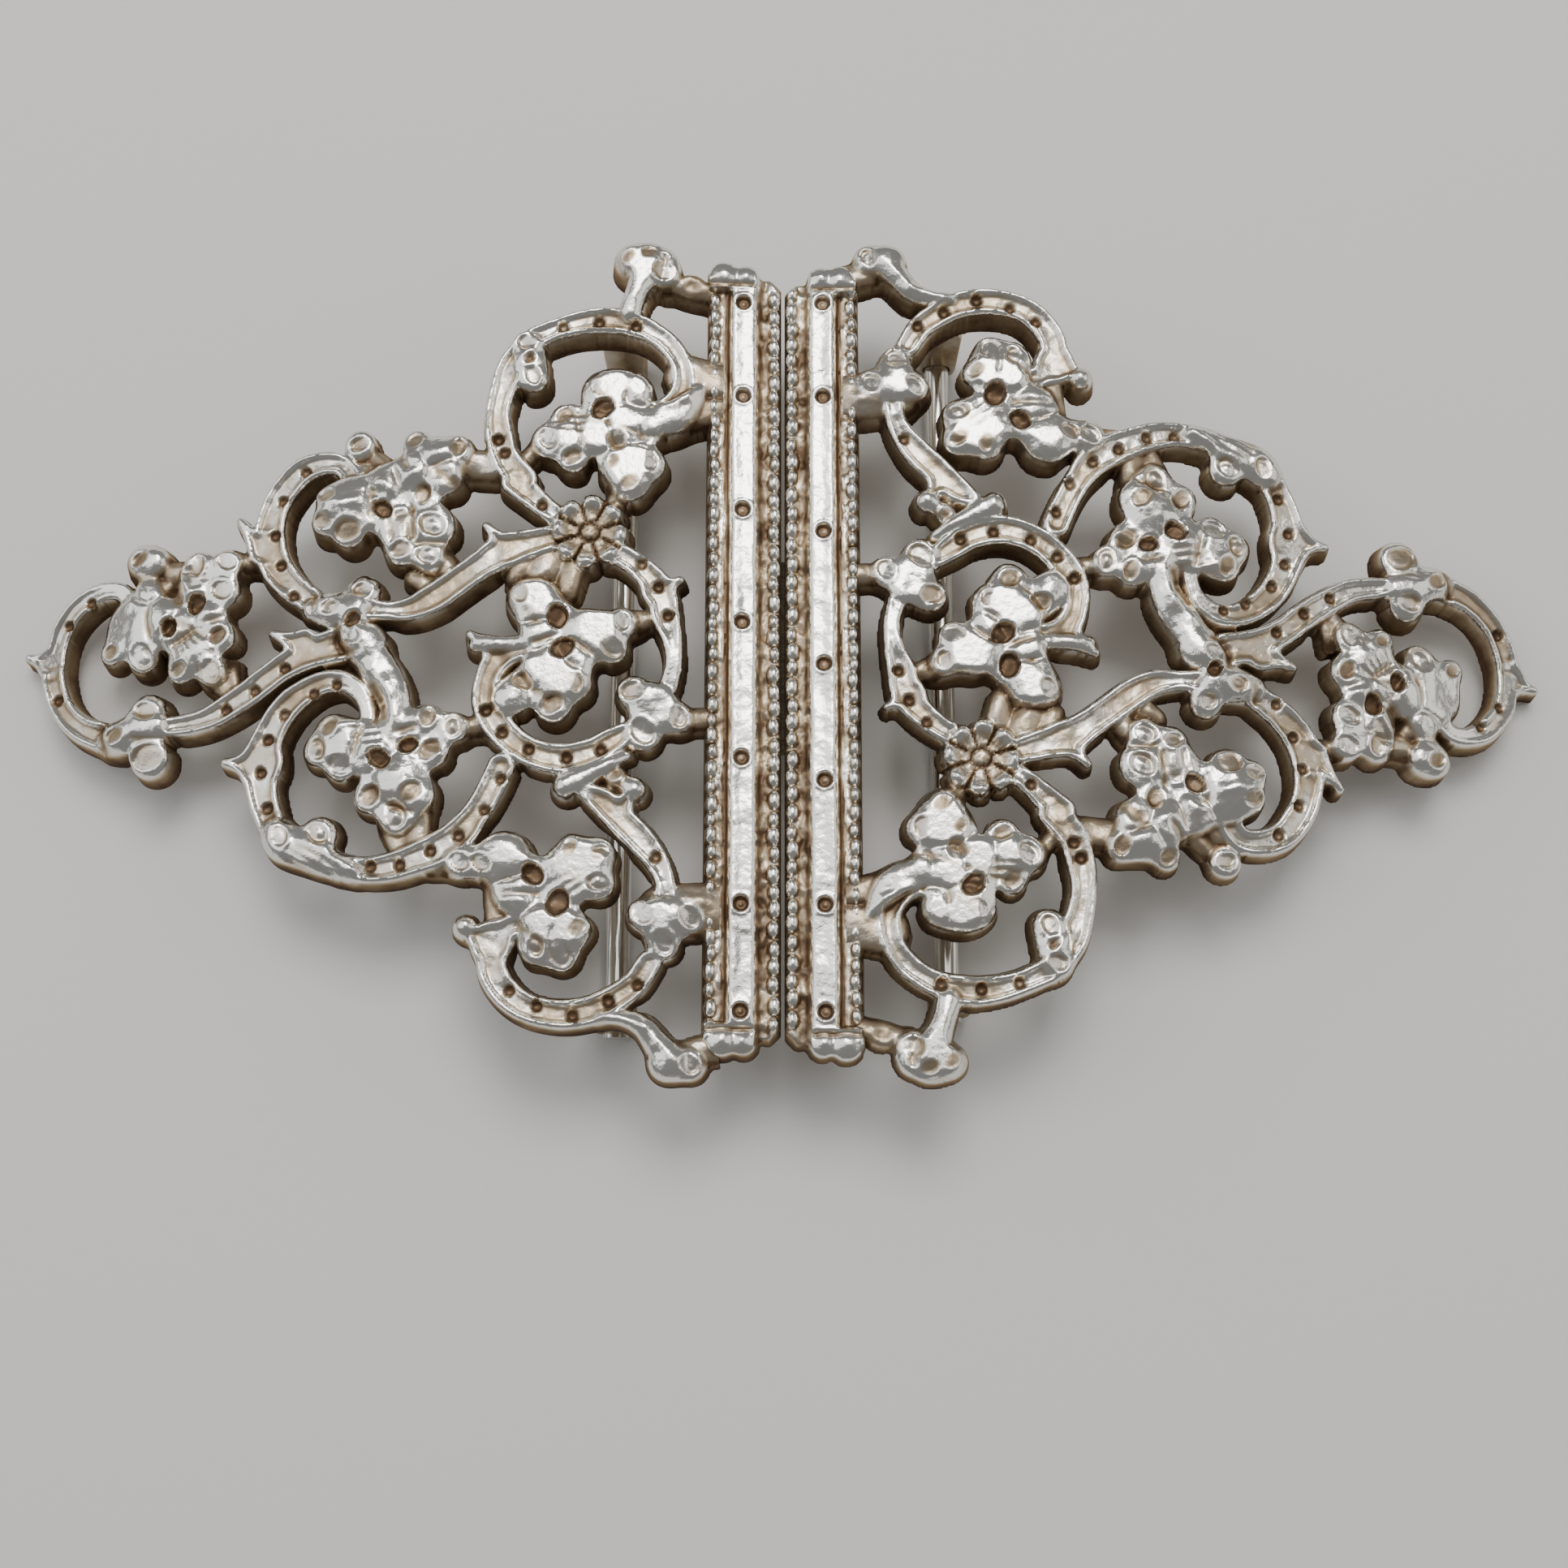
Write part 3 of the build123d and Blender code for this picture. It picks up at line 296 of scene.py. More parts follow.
# Punched dots along the scroll bands; columns: x, y
DOTS = [
    (-44.9, -2.2), (-44.55, 2.55), (-43.1, 3.9), (-33.6, -3.6), (-31.85, -2.5), (-30.0, -1.2),
    (-30.75, 9.55), (-29.4, 11.35), (-31.1, 7.3), (-30.65, 5.35), (-29.7, 3.35),
    (-26.7, -2.4), (-28.1, -2.9), (-29.85, -4.1), (-30.8, -5.6), (-31.15, -7.6), (-30.6, -9.8),
    (-24.1, -13.5), (-22.4, -13.4), (-20.6, -12.6), (-19.0, -11.7), (-17.5, -10.2), (-16.6, -8.35),
    (-17.6, -4.15), (-16.6, -5.5), (-15.0, -6.55), (-12.75, -7.05), (-10.75, -6.6),
    (-8.5, 4.9), (-7.5, 3.5), (-6.9, 1.7), (-13.6, 20.35), (-11.4, 20.7), (-9.1, 20.4),
    (-17.0, 12.1), (-17.4, 13.0), (-14.6, 8.65), (-15.7, -20.8), (-14.1, -21.7), (-12.05, -22.25),
    (-10.0, -21.4), (-8.35, -20.5), (-7.4, -13.0),
]
DOT_RADIUS = 0.34
DOT_DEPTH = 0.34

# Eyes that are deep brown holes, and dishes with a small boss in the middle; columns: x, y
DEEP_EYES = [
    (-37.45, 1.65), (-35.8, 3.1), (-24.3, 8.5), (-25.8, 1.5), (-23.8, -7.1), (-22.1, -6.3), (-11.0, 14.7),
    (-13.45, 1.5), (-13.1, -0.5), (-13.0, -15.8), (-14.5, -14.1),
]
BOSSED_EYES = [
    (-39.2, 0.05), (-27.6, -6.4), (-22.7, -10.5), (-27.2, 2.35), (-21.2, 7.4), (-27.3, -11.5), (-12.8, -18.7),
    (-10.7, -14.6), (-21.4, 5.5), (-19.5, -5.2),
]

# Where the real casting is bent away from the arch; columns: x, y, reach, rise
BENDS = [
    (-47.0, 0.9, 1.6, -0.7), (-41.2, 2.2, 1.3, -0.6), (-39.2, -4.7, 2.0, 0.5), (-27.7, 8.6, 1.5, 0.6),
    (-26.1, 12.9, 1.5, -0.55), (-25.8, 1.5, 1.7, 0.45), (-7.9, -4.4, 2.2, -0.6), (-11.7, 7.0, 2.3, -0.2),
    (-11.0, 14.9, 1.6, 0.2),
]

# Ridges and folds of the petals; columns: from x, from y, to x, to y, width, rise (a fold has a negative one)
MARKS = [
    (-39.7, 4.0, -38.9, 2.9, 0.5, 0.14), (-38.9, 2.5, -38.2, 1.3, 0.6, 0.2),
    (-38.2, 0.9, -36.9, 0.3, 0.5, 0.12), (-37.4, 4.4, -37.0, 3.1, 0.6, -0.35),
    (-36.9, 2.8, -36.3, 3.9, 0.3, 0.14), (-35.3, 2.2, -34.5, 2.5, 0.4, 0.14),
    (-35.0, 1.9, -34.2, 2.1, 0.3, -0.2), (-37.9, 0.5, -38.4, -0.6, 0.3, -0.2),
    (-35.5, -0.6, -35.2, -1.6, 0.3, -0.2), (-41.4, -3.9, -41.7, -4.7, 0.32, -0.4),
    (-41.7, -4.7, -41.2, -5.8, 0.32, -0.4), (-39.4, -5.2, -36.8, -5.3, 0.24, -0.16),
    (-39.0, -5.5, -37.2, -5.7, 0.22, -0.14), (-37.9, -3.7, -37.3, -4.3, 0.5, 0.16),
    (-37.0, -5.05, -34.4, -4.75, 0.4, 0.14), (-27.9, 8.6, -25.6, 9.0, 0.5, 0.16),
    (-25.1, 9.7, -24.9, 7.9, 0.3, -0.24), (-25.3, 9.9, -24.4, 10.1, 0.4, 0.2),
    (-24.4, 10.1, -23.7, 9.5, 0.4, 0.2), (-24.9, 7.9, -25.3, 7.0, 0.5, 0.2),
    (-23.9, 8.3, -23.7, 6.5, 0.28, -0.22), (-22.5, 8.7, -22.4, 6.4, 0.3, -0.28),
    (-22.2, 6.2, -20.3, 6.3, 0.3, -0.26), (-23.0, 10.4, -21.6, 10.9, 0.5, 0.2),
    (-22.2, 11.7, -20.4, 12.0, 0.9, 0.26), (-23.6, 12.3, -22.8, 10.9, 0.3, -0.24),
    (-21.2, 10.9, -19.8, 9.9, 0.5, -0.28), (-26.8, 1.2, -26.8, 0.2, 0.34, -0.4),
    (-26.8, 0.2, -26.3, -0.45, 0.34, -0.4), (-26.3, -0.45, -25.5, -0.5, 0.34, -0.35),
    (-28.3, 3.5, -28.5, 2.2, 0.28, -0.3), (-25.8, -5.25, -23.9, -5.0, 0.2, -0.13),
    (-25.6, -5.7, -23.6, -5.45, 0.2, -0.13), (-25.2, -6.15, -23.6, -5.9, 0.2, -0.13),
    (-26.8, -5.2, -25.0, -4.85, 0.4, 0.16), (-23.9, -8.3, -22.8, -8.1, 0.4, 0.12),
    (-22.1, -8.9, -21.2, -9.4, 1.3, 0.26), (-23.2, -9.8, -21.6, -10.4, 0.3, -0.26),
    (-22.8, -5.5, -21.7, -5.2, 0.28, -0.24), (-21.5, -6.5, -19.9, -7.0, 0.34, 0.18),
    (-24.7, -1.5, -23.4, -3.0, 0.5, 0.2), (-23.4, -3.0, -22.9, -4.7, 0.5, 0.2),
    (-24.5, -2.4, -23.8, -3.7, 0.42, -0.35), (-23.8, -3.7, -23.6, -4.8, 0.42, -0.35),
    (-29.0, -12.4, -26.2, -14.0, 0.22, -0.15), (-28.6, -12.1, -26.0, -13.6, 0.22, -0.15),
    (-29.2, -12.9, -27.2, -14.0, 0.22, -0.15), (-26.9, -12.2, -26.2, -13.1, 0.36, 0.16),
    (-26.2, -13.1, -24.6, -14.0, 0.36, 0.14), (-16.9, 17.4, -15.7, 18.5, 0.5, 0.18),
    (-15.7, 18.5, -15.0, 19.6, 0.5, 0.18), (-13.9, 13.9, -10.5, 13.75, 0.24, -0.24),
    (-13.0, 14.35, -10.9, 14.05, 0.24, -0.22), (-13.6, 13.4, -11.4, 13.35, 0.2, -0.16),
    (-13.6, 12.8, -11.2, 12.9, 0.6, 0.2), (-9.9, 16.6, -8.3, 15.9, 0.7, 0.24),
    (-11.2, 15.5, -9.7, 15.4, 0.3, -0.12), (-8.6, 15.1, -7.2, 14.95, 0.42, 0.26),
    (-7.2, 14.95, -6.0, 15.5, 0.42, 0.26), (-6.0, 15.5, -5.0, 16.4, 0.42, 0.26),
    (-10.0, 13.5, -8.4, 12.9, 0.3, -0.26), (-8.4, 12.9, -6.7, 13.0, 0.3, -0.2),
    (-10.9, 12.95, -10.0, 12.3, 0.3, -0.3), (-10.1, 11.8, -8.5, 11.9, 0.5, 0.18),
    (-9.6, 25.2, -8.9, 23.6, 0.5, 0.22), (-8.9, 23.6, -9.4, 22.0, 0.45, 0.2),
    (-8.0, 24.9, -8.2, 23.8, 0.4, 0.16), (-8.2, 23.8, -8.8, 22.5, 0.36, 0.14),
    (-6.2, 23.9, -5.6, 23.9, 0.6, 0.26), (-5.4, 23.8, -4.4, 23.1, 0.6, 0.3),
    (-15.7, 3.4, -13.6, 3.5, 0.4, 0.16), (-15.4, 1.9, -14.6, 1.2, 0.4, -0.1),
    (-11.8, 1.5, -9.8, 1.5, 0.5, 0.2), (-11.1, -0.9, -12.6, 0.1, 0.3, -0.16),
    (-15.9, -0.9, -14.5, -1.9, 0.7, 0.26), (-14.5, -1.9, -12.5, -2.5, 0.7, 0.26),
    (-15.6, -1.9, -14.9, -3.0, 0.34, -0.3), (-14.9, -3.0, -13.7, -3.7, 0.34, -0.2),
    (-14.9, -0.2, -13.6, 0.2, 0.3, -0.28), (-16.9, -12.9, -14.6, -13.2, 0.4, 0.2),
    (-13.6, -13.4, -10.4, -13.1, 0.45, 0.22), (-13.3, -14.7, -11.8, -13.7, 0.2, -0.14),
    (-12.8, -15.0, -11.3, -14.0, 0.2, -0.14), (-12.2, -15.2, -11.2, -14.5, 0.2, -0.12),
    (-14.7, -16.8, -12.5, -16.7, 0.6, 0.24), (-12.5, -16.7, -11.3, -17.1, 0.5, 0.2),
    (-15.2, -17.2, -13.6, -18.2, 0.3, -0.24), (-16.3, -15.2, -14.0, -15.3, 0.3, -0.22),
    (-7.4, -15.9, -6.6, -14.4, 0.7, 0.2), (-6.2, -15.5, -4.4, -15.6, 0.5, 0.24),
    (-9.8, -22.4, -8.0, -22.8, 0.34, 0.16), (-8.0, -22.8, -7.0, -23.9, 0.36, 0.18),
    (-7.0, -23.9, -6.2, -24.8, 0.36, 0.18), (-7.7, -24.3, -6.9, -25.3, 0.3, -0.1),
    (-31.9, 7.55, -30.6, 7.35, 0.3, 0.18), (-31.8, 5.55, -30.4, 5.1, 0.3, 0.18),
    (-30.3, 3.8, -29.2, 3.0, 0.3, 0.18), (-45.9, 0.1, -45.0, 0.1, 0.24, -0.16),
    (-45.9, -0.7, -45.0, -0.7, 0.24, -0.12),
]

# Engraved lines that fan out over a petal; columns: from x, from y, middle line's end x and y, spread
FANS = [
    (-37.4, 2.2, -36.0, 0.3, 2.0), (-23.3, 8.6, -22.9, 6.5, 1.5), (-36.9, 5.5, -35.7, 4.4, 1.0),
]
FAN_LINES = 5
FAN_DEPTH = 0.2
FAN_WIDTH = 0.17

# A curled sheet that lies on the webs; columns: x, y, width
HORN = [(-9.2, 14.1, 1.5), (-7.9, 14.0, 1.9), (-6.6, 14.4, 2.1), (-5.6, 15.4, 1.5), (-5.0, 16.4, 0.7)]

ROSETTE_AT = (-11.7, 7.0)
ROSETTE_RADIUS = 2.45
PETALS = 8
ROSETTE_TURN = 0.48        # direction of the first petal, in radians
BOSS = 0.53

# Frame bar, as distances from the joint line
BAR_OUTER = 4.6
BAR_INNER = JOINT_HALF_GAP
BAR_TOP = 23.9
BAR_FOOT = -23.6
BAR_CAPS = [(-3.65, 23.85, 0.95), (-2.3, 23.8, 0.8), (-3.5, -23.6, 0.95), (-2.3, -23.7, 0.8)]
CAP_LENGTH = 1.1
BAR_CORNER = 0.7           # chamfer at the joint
# Levels across the bar; columns: distance from the joint line, level
BAR_SECTION = [
    (0.11, -0.4), (0.2, -0.26), (0.8, -0.3), (0.9, -0.46), (1.42, -0.44), (1.5, -0.2), (1.6, 0.16),
    (1.75, 0.26), (2.4, 0.2), (3.0, 0.26), (3.14, 0.2), (3.24, -0.1), (3.36, -0.5), (3.5, -0.5),
    (3.62, -0.3), (4.0, -0.34), (4.5, -0.42), (4.6, -0.5),
]
# Along the bar: the inner groove, the dark line and the outer strip, by where each starts, is full, ends
GROOVE = (0.82, 0.9, 1.45, 1.55)
DARK_LINE = (3.2, 3.3, 3.5, 3.58)
STRIP = (3.5, 3.58, 3.95, 4.1)
GRAIN_RISE = 0.09          # rough grain of groove and strip
BAR_WAVE = 0.06            # wander of the lines along the bar
BAND_DOT_AT = 2.45
BAND_DOT_RADIUS = 0.42
# Bead lines; columns: distance from the joint line, bead radius, level at its foot, rise, pitch, stain
BEAD_LINES = [(4.24, 0.36, -0.34, 0.38, 1.0, 0.3), (0.5, 0.4, -0.3, 0.46, 1.1, 0.25)]

# Belt bar and the lugs that hold it
BELT_BAR_AT = 10.1
BELT_BAR_LEVEL = 1.25
LUG_RADIUS = 1.25
LUG_BORE = 0.86
LUG_THICK = 1.7
LUGS_AT = [20.7, -21.7]
LUG_ROOT = 0.6
LUG_SIDES = 48
LUG_BEVEL = 0.12


def arch(x):
    """Level of the arched top surface of the left half."""
    return ARCH_CENTRE + np.sqrt(ARCH_RADIUS**2 - (x + CROWN_AT)**2)


def smooth_step(low, high, value):
    t = np.clip((value - low) / (high - low), 0, 1)
    return t * t * (3 - 2 * t)


def stripe(value, start, full, fade, end):
    """1 between two stations, with soft sides."""
    return smooth_step(start, full, value) * (1 - smooth_step(fade, end, value))


def bell(value, width):
    return np.exp(-(value / width)**2)


def quarter_round(t):
    """Goes from 0 to 1 along a quarter circle."""
    return 1 - np.sqrt(1 - t * t)


def smooth_max(a, b, width):
    t = np.clip(0.5 + 0.5 * (a - b) / width, 0, 1)
    return b + (a - b) * t + width * t * (1 - t)


def blur(field, reach):
    """A box blur over a square of twice the reach, in grid steps."""
    size = 2 * reach + 1
    for _ in range(2):
        for axis in (0, 1):
            pad = [(reach + 1, reach) if a == axis else (0, 0) for a in (0, 1)]
            run = np.cumsum(np.pad(field, pad, mode="edge"), axis=axis)
            if axis == 0:
                field = (run[size:] - run[:-size]) / size
            else:
                field = (run[:, size:] - run[:, :-size]) / size
    return field


def mottle(x, y, scale, seed):
    """Smooth noise between -1 and 1 with lumps of about one scale, on a grid turned by the seed."""
    draw = np.random.default_rng(seed)
    c, s = np.cos(seed), np.sin(seed)
    u = (x * c - y * s + 80) / scale
    v = (x * s + y * c + 80) / scale
    table = draw.uniform(-1, 1, (int(v.max()) + 3, int(u.max()) + 3))
    iu = u.astype(int)
    iv = v.astype(int)
    fu = smooth_step(0, 1, u - iu)
    fv = smooth_step(0, 1, v - iv)
    low = table[iv, iu] * (1 - fu) + table[iv, iu + 1] * fu
    high = table[iv + 1, iu] * (1 - fu) + table[iv + 1, iu + 1] * fu
    return low * (1 - fv) + high * fv


def lumps(x, y, table):
    return sum(height * mottle(x, y, size, seed) for height, size, seed in table)


def along_curve(rows, step=0.1):
    """Close samples on a smooth curve through the rows of x, y, width."""
    p = np.array(rows, float)
    p = np.vstack([2 * p[0] - p[1], p, 2 * p[-1] - p[-2]])
    samples = []
    for a, b, c, d in zip(p, p[1:], p[2:], p[3:]):
        count = max(2, int(np.hypot(*(c - b)[:2]) / step))
        t = np.linspace(0, 1, count, endpoint=False)[:, None]
        samples.append(0.5 * (2 * b + (c - a) * t + (2 * a - 5 * b + 4 * c - d) * t**2
                              + (3 * b - a - 3 * c + d) * t**3))
    return np.vstack(samples + [p[-2:-1]])


class Relief:
    """A field of levels over a flat grid: how deep each point lies inside the outline, and its height."""

    def __init__(self, x_low, x_high, y_low, y_high, step):
        self.step = step
        self.x = np.arange(x_low, x_high + step / 2, step)
        self.y = np.arange(y_low, y_high + step / 2, step)
        self.gx, self.gy = np.meshgrid(self.x, self.y)
        self.inside = np.full(self.gx.shape, -9.0)
        self.level = np.full(self.gx.shape, -9.0)
        # Tarnish of each point, with painted shade on the webs; walls, rim and flanks get theirs later
        self.dirt_and_shade = np.zeros(self.gx.shape)

    def window(self, x, y, reach_x, reach_y):
        """The part of the grid round a point."""
        i = slice(*np.searchsorted(self.y, [y - reach_y, y + reach_y]))
        j = slice(*np.searchsorted(self.x, [x - reach_x, x + reach_x]))
        return i, j

    def join(self, at, inside, level):
        """Adds a stroke or a lobe: outlines and levels flow into what is there."""
        self.inside[at] = smooth_max(self.inside[at], inside, BLEND)
        self.level[at] = smooth_max(self.level[at], level, CREASE)

    def stroke(self, rows):
        """How deep each point near a tapering band lies inside it, and the band's half width there."""
        p = along_curve(rows)
        reach = p[:, 2].max() / 2 + 1.5
        middle = (p.max(0) + p.min(0)) / 2
        span = (p.max(0) - p.min(0)) / 2
        at = self.window(middle[0], middle[1], span[0] + reach, span[1] + reach)
        x = self.gx[at]
        y = self.gy[at]
        inside = np.full(x.shape, -9.0)
        half = np.ones(x.shape)
        for px, py, width in p:
            edge = width / 2 - np.hypot(x - px, y - py)
            nearer = edge > inside
            inside[nearer] = edge[nearer]
            half[nearer] = width / 2
        return at, inside, half

    def whole_stroke(self, rows):
        """The same over the whole grid."""
        at, inside, half = self.stroke(rows)
        whole = np.full(self.gx.shape, -9.0)
        width = np.ones(self.gx.shape)
        whole[at] = inside
        width[at] = half
        return whole, width

    def band(self, rows, thorns):
        """A band with its thorns, which share one rim; returns how deep points lie inside, and half widths."""
        whole, width = self.whole_stroke(rows)
        for thorn in thorns:
            near, spike, _ = self.stroke(thorn)
            whole[near] = smooth_max(whole[near], spike, BLEND)
        self.join(np.s_[:, :], whole, rounded_edge(whole))
        return whole, width

    def lobe(self, x, y, radius):
        at = self.window(x, y, radius + 1.5, radius + 1.5)
        inside = radius - np.hypot(self.gx[at] - x, self.gy[at] - y)
        self.join(at, inside, dome_shape(inside, radius))

    def flower(self, knobs, leaves, drop=0.0, stain=0.0):
        """A sheet with round flanks that swells away from its edges, with soft folds between its lobes."""
        first = np.full(self.gx.shape, -9.0)
        second = first.copy()
        together = first.copy()
        bump = np.zeros(self.gx.shape)
        swell = np.zeros(self.gx.shape)
        members = [(radius - np.hypot(self.gx - x, self.gy - y), radius, eye) for x, y, radius, eye in knobs]
        members += [(*self.whole_stroke(rows), 0) for rows in leaves]
        for inside, size, eye in members:
            together = smooth_max(together, inside, PETAL_BLEND)
            if eye:
                bump = np.maximum(bump, bell(1 - inside / size, BUMP_REACH))
                continue
            second = np.maximum(second, np.minimum(first, inside))
            first = np.maximum(first, inside)
            dome = np.clip(1 - np.clip(1 - inside / size, 0, 9)**2 / DOME_ROUND, 0, 1)
            swell = smooth_max(swell, dome * np.minimum(size / DOME_FULL, 1), DOME_BLEND)
        metal = smooth_step(-EDGE_SOFT, EDGE_SOFT, together)
        foot, gain = PILLOW_SHARE
        depth = np.clip((blur(metal, int(PILLOW_REACH / self.step)) - foot) / gain, 0, 1)
        fold = bell(first - second, FOLD_WIDTH) * smooth_step(-0.1, 0.6, second)
        ripple = PETAL_RIPPLE * mottle(self.gx, self.gy, 1.5, 31)
        level = PILLOW_LOW - drop + PILLOW_RISE * (1 - (1 - depth)**2) + OUTER_SLOPE * np.minimum(together, 0)
        level += (DOME * swell + KNOB_BUMP * bump - PETAL_FOLD * fold + ripple) * metal
        self.inside = smooth_max(self.inside, together, BLEND)
        self.level = smooth_max(self.level, level, CREASE)
        self.dirt_and_shade *= 1 - 0.9 * smooth_step(0, 0.3, together)
        self.dirt_and_shade = np.maximum(self.dirt_and_shade, (stain + 0.2 * fold) * metal)

    def eye(self, x, y, radius, deep, boss):
        """A dish pressed into a knob, a little out of round and tilted, or a deep brown hole."""
        at = self.window(x, y, radius + 1, radius + 1)
        dx = self.gx[at] - x
        dy = self.gy[at] - y
        turn = np.arctan2(dy, dx)
        lean = 5 * x + 3 * y
        far = np.hypot(dx, dy) * (1 + EYE_OVAL * np.cos(2 * turn + lean))
        amount = 1 - smooth_step(radius - 0.14, radius + 0.1, far)
        depth = DEEP_EYE_DEPTH if deep else EYE_DEPTH * (1 + EYE_TILT * np.cos(turn - lean) * far / radius)
        lip = bell(far - radius - 0.15, 0.14) * (0.6 + 0.4 * np.cos(turn + lean))
        middle = (EYE_BOSS if boss else EYE_DIP) * bell(far, 0.5 * radius)
        self.level[at] += EYE_LIP * lip + middle - depth * amount
        foot = bell(far - radius + 0.02, 0.1) * (0.7 + 0.3 * np.cos(turn - lean))
        stain = 0.9 if deep else 0.36 + 0.24 * np.sin(lean)
        self.dirt_and_shade[at] = np.maximum(self.dirt_and_shade[at], np.maximum(stain * amount, 0.5 * foot))

    def mark(self, x0, y0, x1, y1, width, rise):
        """A soft ridge, or with a negative rise a fold, along a straight stretch."""
        run = np.hypot(x1 - x0, y1 - y0)
        at = self.window((x0 + x1) / 2, (y0 + y1) / 2,
                         abs(x1 - x0) / 2 + width + 0.5, abs(y1 - y0) / 2 + width + 0.5)
        dx = self.gx[at] - x0
        dy = self.gy[at] - y0
        along = np.clip((dx * (x1 - x0) + dy * (y1 - y0)) / run, 0, run)
        far = np.hypot(dx - along * (x1 - x0) / run, dy - along * (y1 - y0) / run)
        ends = smooth_step(-0.3, 0.25, along) * smooth_step(run + 0.3, run - 0.25, along)
        amount = bell(far, 0.04 + 0.7 * width) * ends
        self.level[at] += 0.75 * rise * amount
        if rise < 0:
            self.dirt_and_shade[at] = np.maximum(self.dirt_and_shade[at], np.clip(-rise * 1.8, 0, 0.6) * amount)

    def around(self, x, y, radius):
        """Mean level on a circle."""
        turn = np.linspace(0, 2 * pi, 12, endpoint=False)
        i = np.searchsorted(self.y, y + radius * np.sin(turn))
        j = np.searchsorted(self.x, x + radius * np.cos(turn))
        return float(self.level[i, j].mean())

    def punch(self, x, y, radius, floor, dirt_and_shade, soft=0.1, boss=0.0):
        """Presses a round dish down to a floor level."""
        at = self.window(x, y, radius + 1, radius + 1)
        far = np.hypot(self.gx[at] - x, self.gy[at] - y)
        amount = 1 - smooth_step(radius - soft, radius + soft, far)
        bowl = floor + 0.12 * (far / radius)**2 + boss * bell(far, 0.45 * radius)
        self.level[at] = self.level[at] * (1 - amount) + np.minimum(bowl, self.level[at]) * amount
        stain = dirt_and_shade * (0.55 + 0.45 * np.clip(far / radius, 0, 1)**2)
        self.dirt_and_shade[at] = self.dirt_and_shade[at] * (1 - amount) + np.maximum(stain, 0.9 * self.dirt_and_shade[at]) * amount


def rounded_edge(inside):
    """Falls away in a quarter circle towards an outer edge, and steeply outside it."""
    t = np.clip(1 - inside / EDGE_ROUND, 0, 1)
    return -EDGE_DROP * quarter_round(t) + OUTER_SLOPE * np.minimum(inside, 0)


def dome_shape(inside, radius):
    """A round knob by itself, as on the ends of the frame bar."""
    across = np.clip(inside / radius, 0, 1)
    return -0.5 + 0.85 * (1 - (1 - across)**2)**0.75 + OUTER_SLOPE * np.minimum(inside, 0)


def thorn_rows(tip_x, tip_y, root_x, root_y, width):
    """A thorn as a tapering band that starts at its blunt tip."""
    tip = THORN_TIP
    run = np.hypot(root_x - tip_x, root_y - tip_y)
    start = (tip_x + (root_x - tip_x) / run * tip / 2, tip_y + (root_y - tip_y) / run * tip / 2)
    rows = []
    for t in (0, 0.35, 0.7, 1):
        w = tip + (width - tip) * t**1.6
        rows.append((start[0] + (root_x - start[0]) * t, start[1] + (root_y - start[1]) * t, w))
    return rows


def rosette(relief):
    """Petals round a small boss: each dips towards it and ends in a lip, with a rib between each two."""
    x, y = ROSETTE_AT
    at = relief.window(x, y, ROSETTE_RADIUS + 1.5, ROSETTE_RADIUS + 1.5)
    dx = relief.gx[at] - x
    dy = relief.gy[at] - y
    far = np.hypot(dx, dy)
    turn = np.arctan2(dy, dx) + ROSETTE_TURN
    across = np.abs(np.sin(turn * PETALS / 2))
    inside = ROSETTE_RADIUS - 0.45 * (1 - across)**1.3 - far
    lip = bell(far - (ROSETTE_RADIUS - 0.55), 0.42) * across
    groove = 1 - smooth_step(0.12, 0.42, across)
    rib = bell(across, 0.1) * smooth_step(2.0, 1.3, far)
    level = -0.16 + 0.36 * lip - 0.26 * groove * smooth_step(0.5, 0.9, far)
    level = level + 0.16 * rib * smooth_step(0.6, 0.9, far)
    lines = np.abs(np.sin(turn * PETALS * 1.5))
    level -= 0.08 * (1 - smooth_step(0, 0.4, lines)) * smooth_step(0.6, 0.8, far) * smooth_step(1.9, 1.3, far)
    level = np.where(far < BOSS, 0.14 * np.sqrt(np.clip(1 - (far / BOSS)**2, 0, 1)) - 0.12, level)
    ditch = bell(far - BOSS - 0.06, 0.1)
    level -= 0.12 * ditch
    t = np.clip(1 - inside / 0.5, 0, 1)
    level += OUTER_SLOPE * np.minimum(inside, 0) - 0.4 * quarter_round(t)
    keep = smooth_step(-0.1, 0.1, inside)
    relief.level[at] = relief.level[at] * (1 - keep) + level * keep
    relief.inside[at] = smooth_max(relief.inside[at], inside, BLEND)
    stain = 0.5 * smooth_step(1.9, 1.3, far) + 0.4 * groove + 0.5 * ditch
    relief.dirt_and_shade[at] = relief.dirt_and_shade[at] * (1 - keep) + np.clip(stain, 0, 0.95) * keep


def fan(relief, x, y, end_x, end_y, spread):
    """Engraved lines that start close together and open out to a spread."""
    run = np.hypot(end_x - x, end_y - y)
    ux, uy = (end_x - x) / run, (end_y - y) / run
    for k in range(FAN_LINES):
        off = (k / (FAN_LINES - 1) - 0.5) * spread
        near = 0.35 * off
        relief.mark(x - uy * near + 0.15 * run * ux, y + ux * near + 0.15 * run * uy,
                    end_x - uy * off, end_y + ux * off, FAN_WIDTH, -FAN_DEPTH)


def close_slivers(relief):
    """Fills openings that are too narrow to be real ones, down at the level of the valleys."""
    open_to = relief.inside < -SLIVER
    gap = relief.inside < 0
    for _ in range(SLIVER_STEPS):
        grown = open_to.copy()
        grown[1:] |= open_to[:-1]
        grown[:-1] |= open_to[1:]
        grown[:, 1:] |= open_to[:, :-1]
        grown[:, :-1] |= open_to[:, 1:]
        open_to = grown & gap
    relief.inside[gap & ~open_to] = 0.05


def bend(relief):
    """Lifts or lowers the metal where the real casting leaves the arch."""
    rise = np.zeros(relief.gx.shape)
    for x, y, reach, lift in BENDS:
        rise += lift * np.exp(-((relief.gx - x)**2 + (relief.gy - y)**2) / (2 * (0.7 * reach)**2))
    return rise


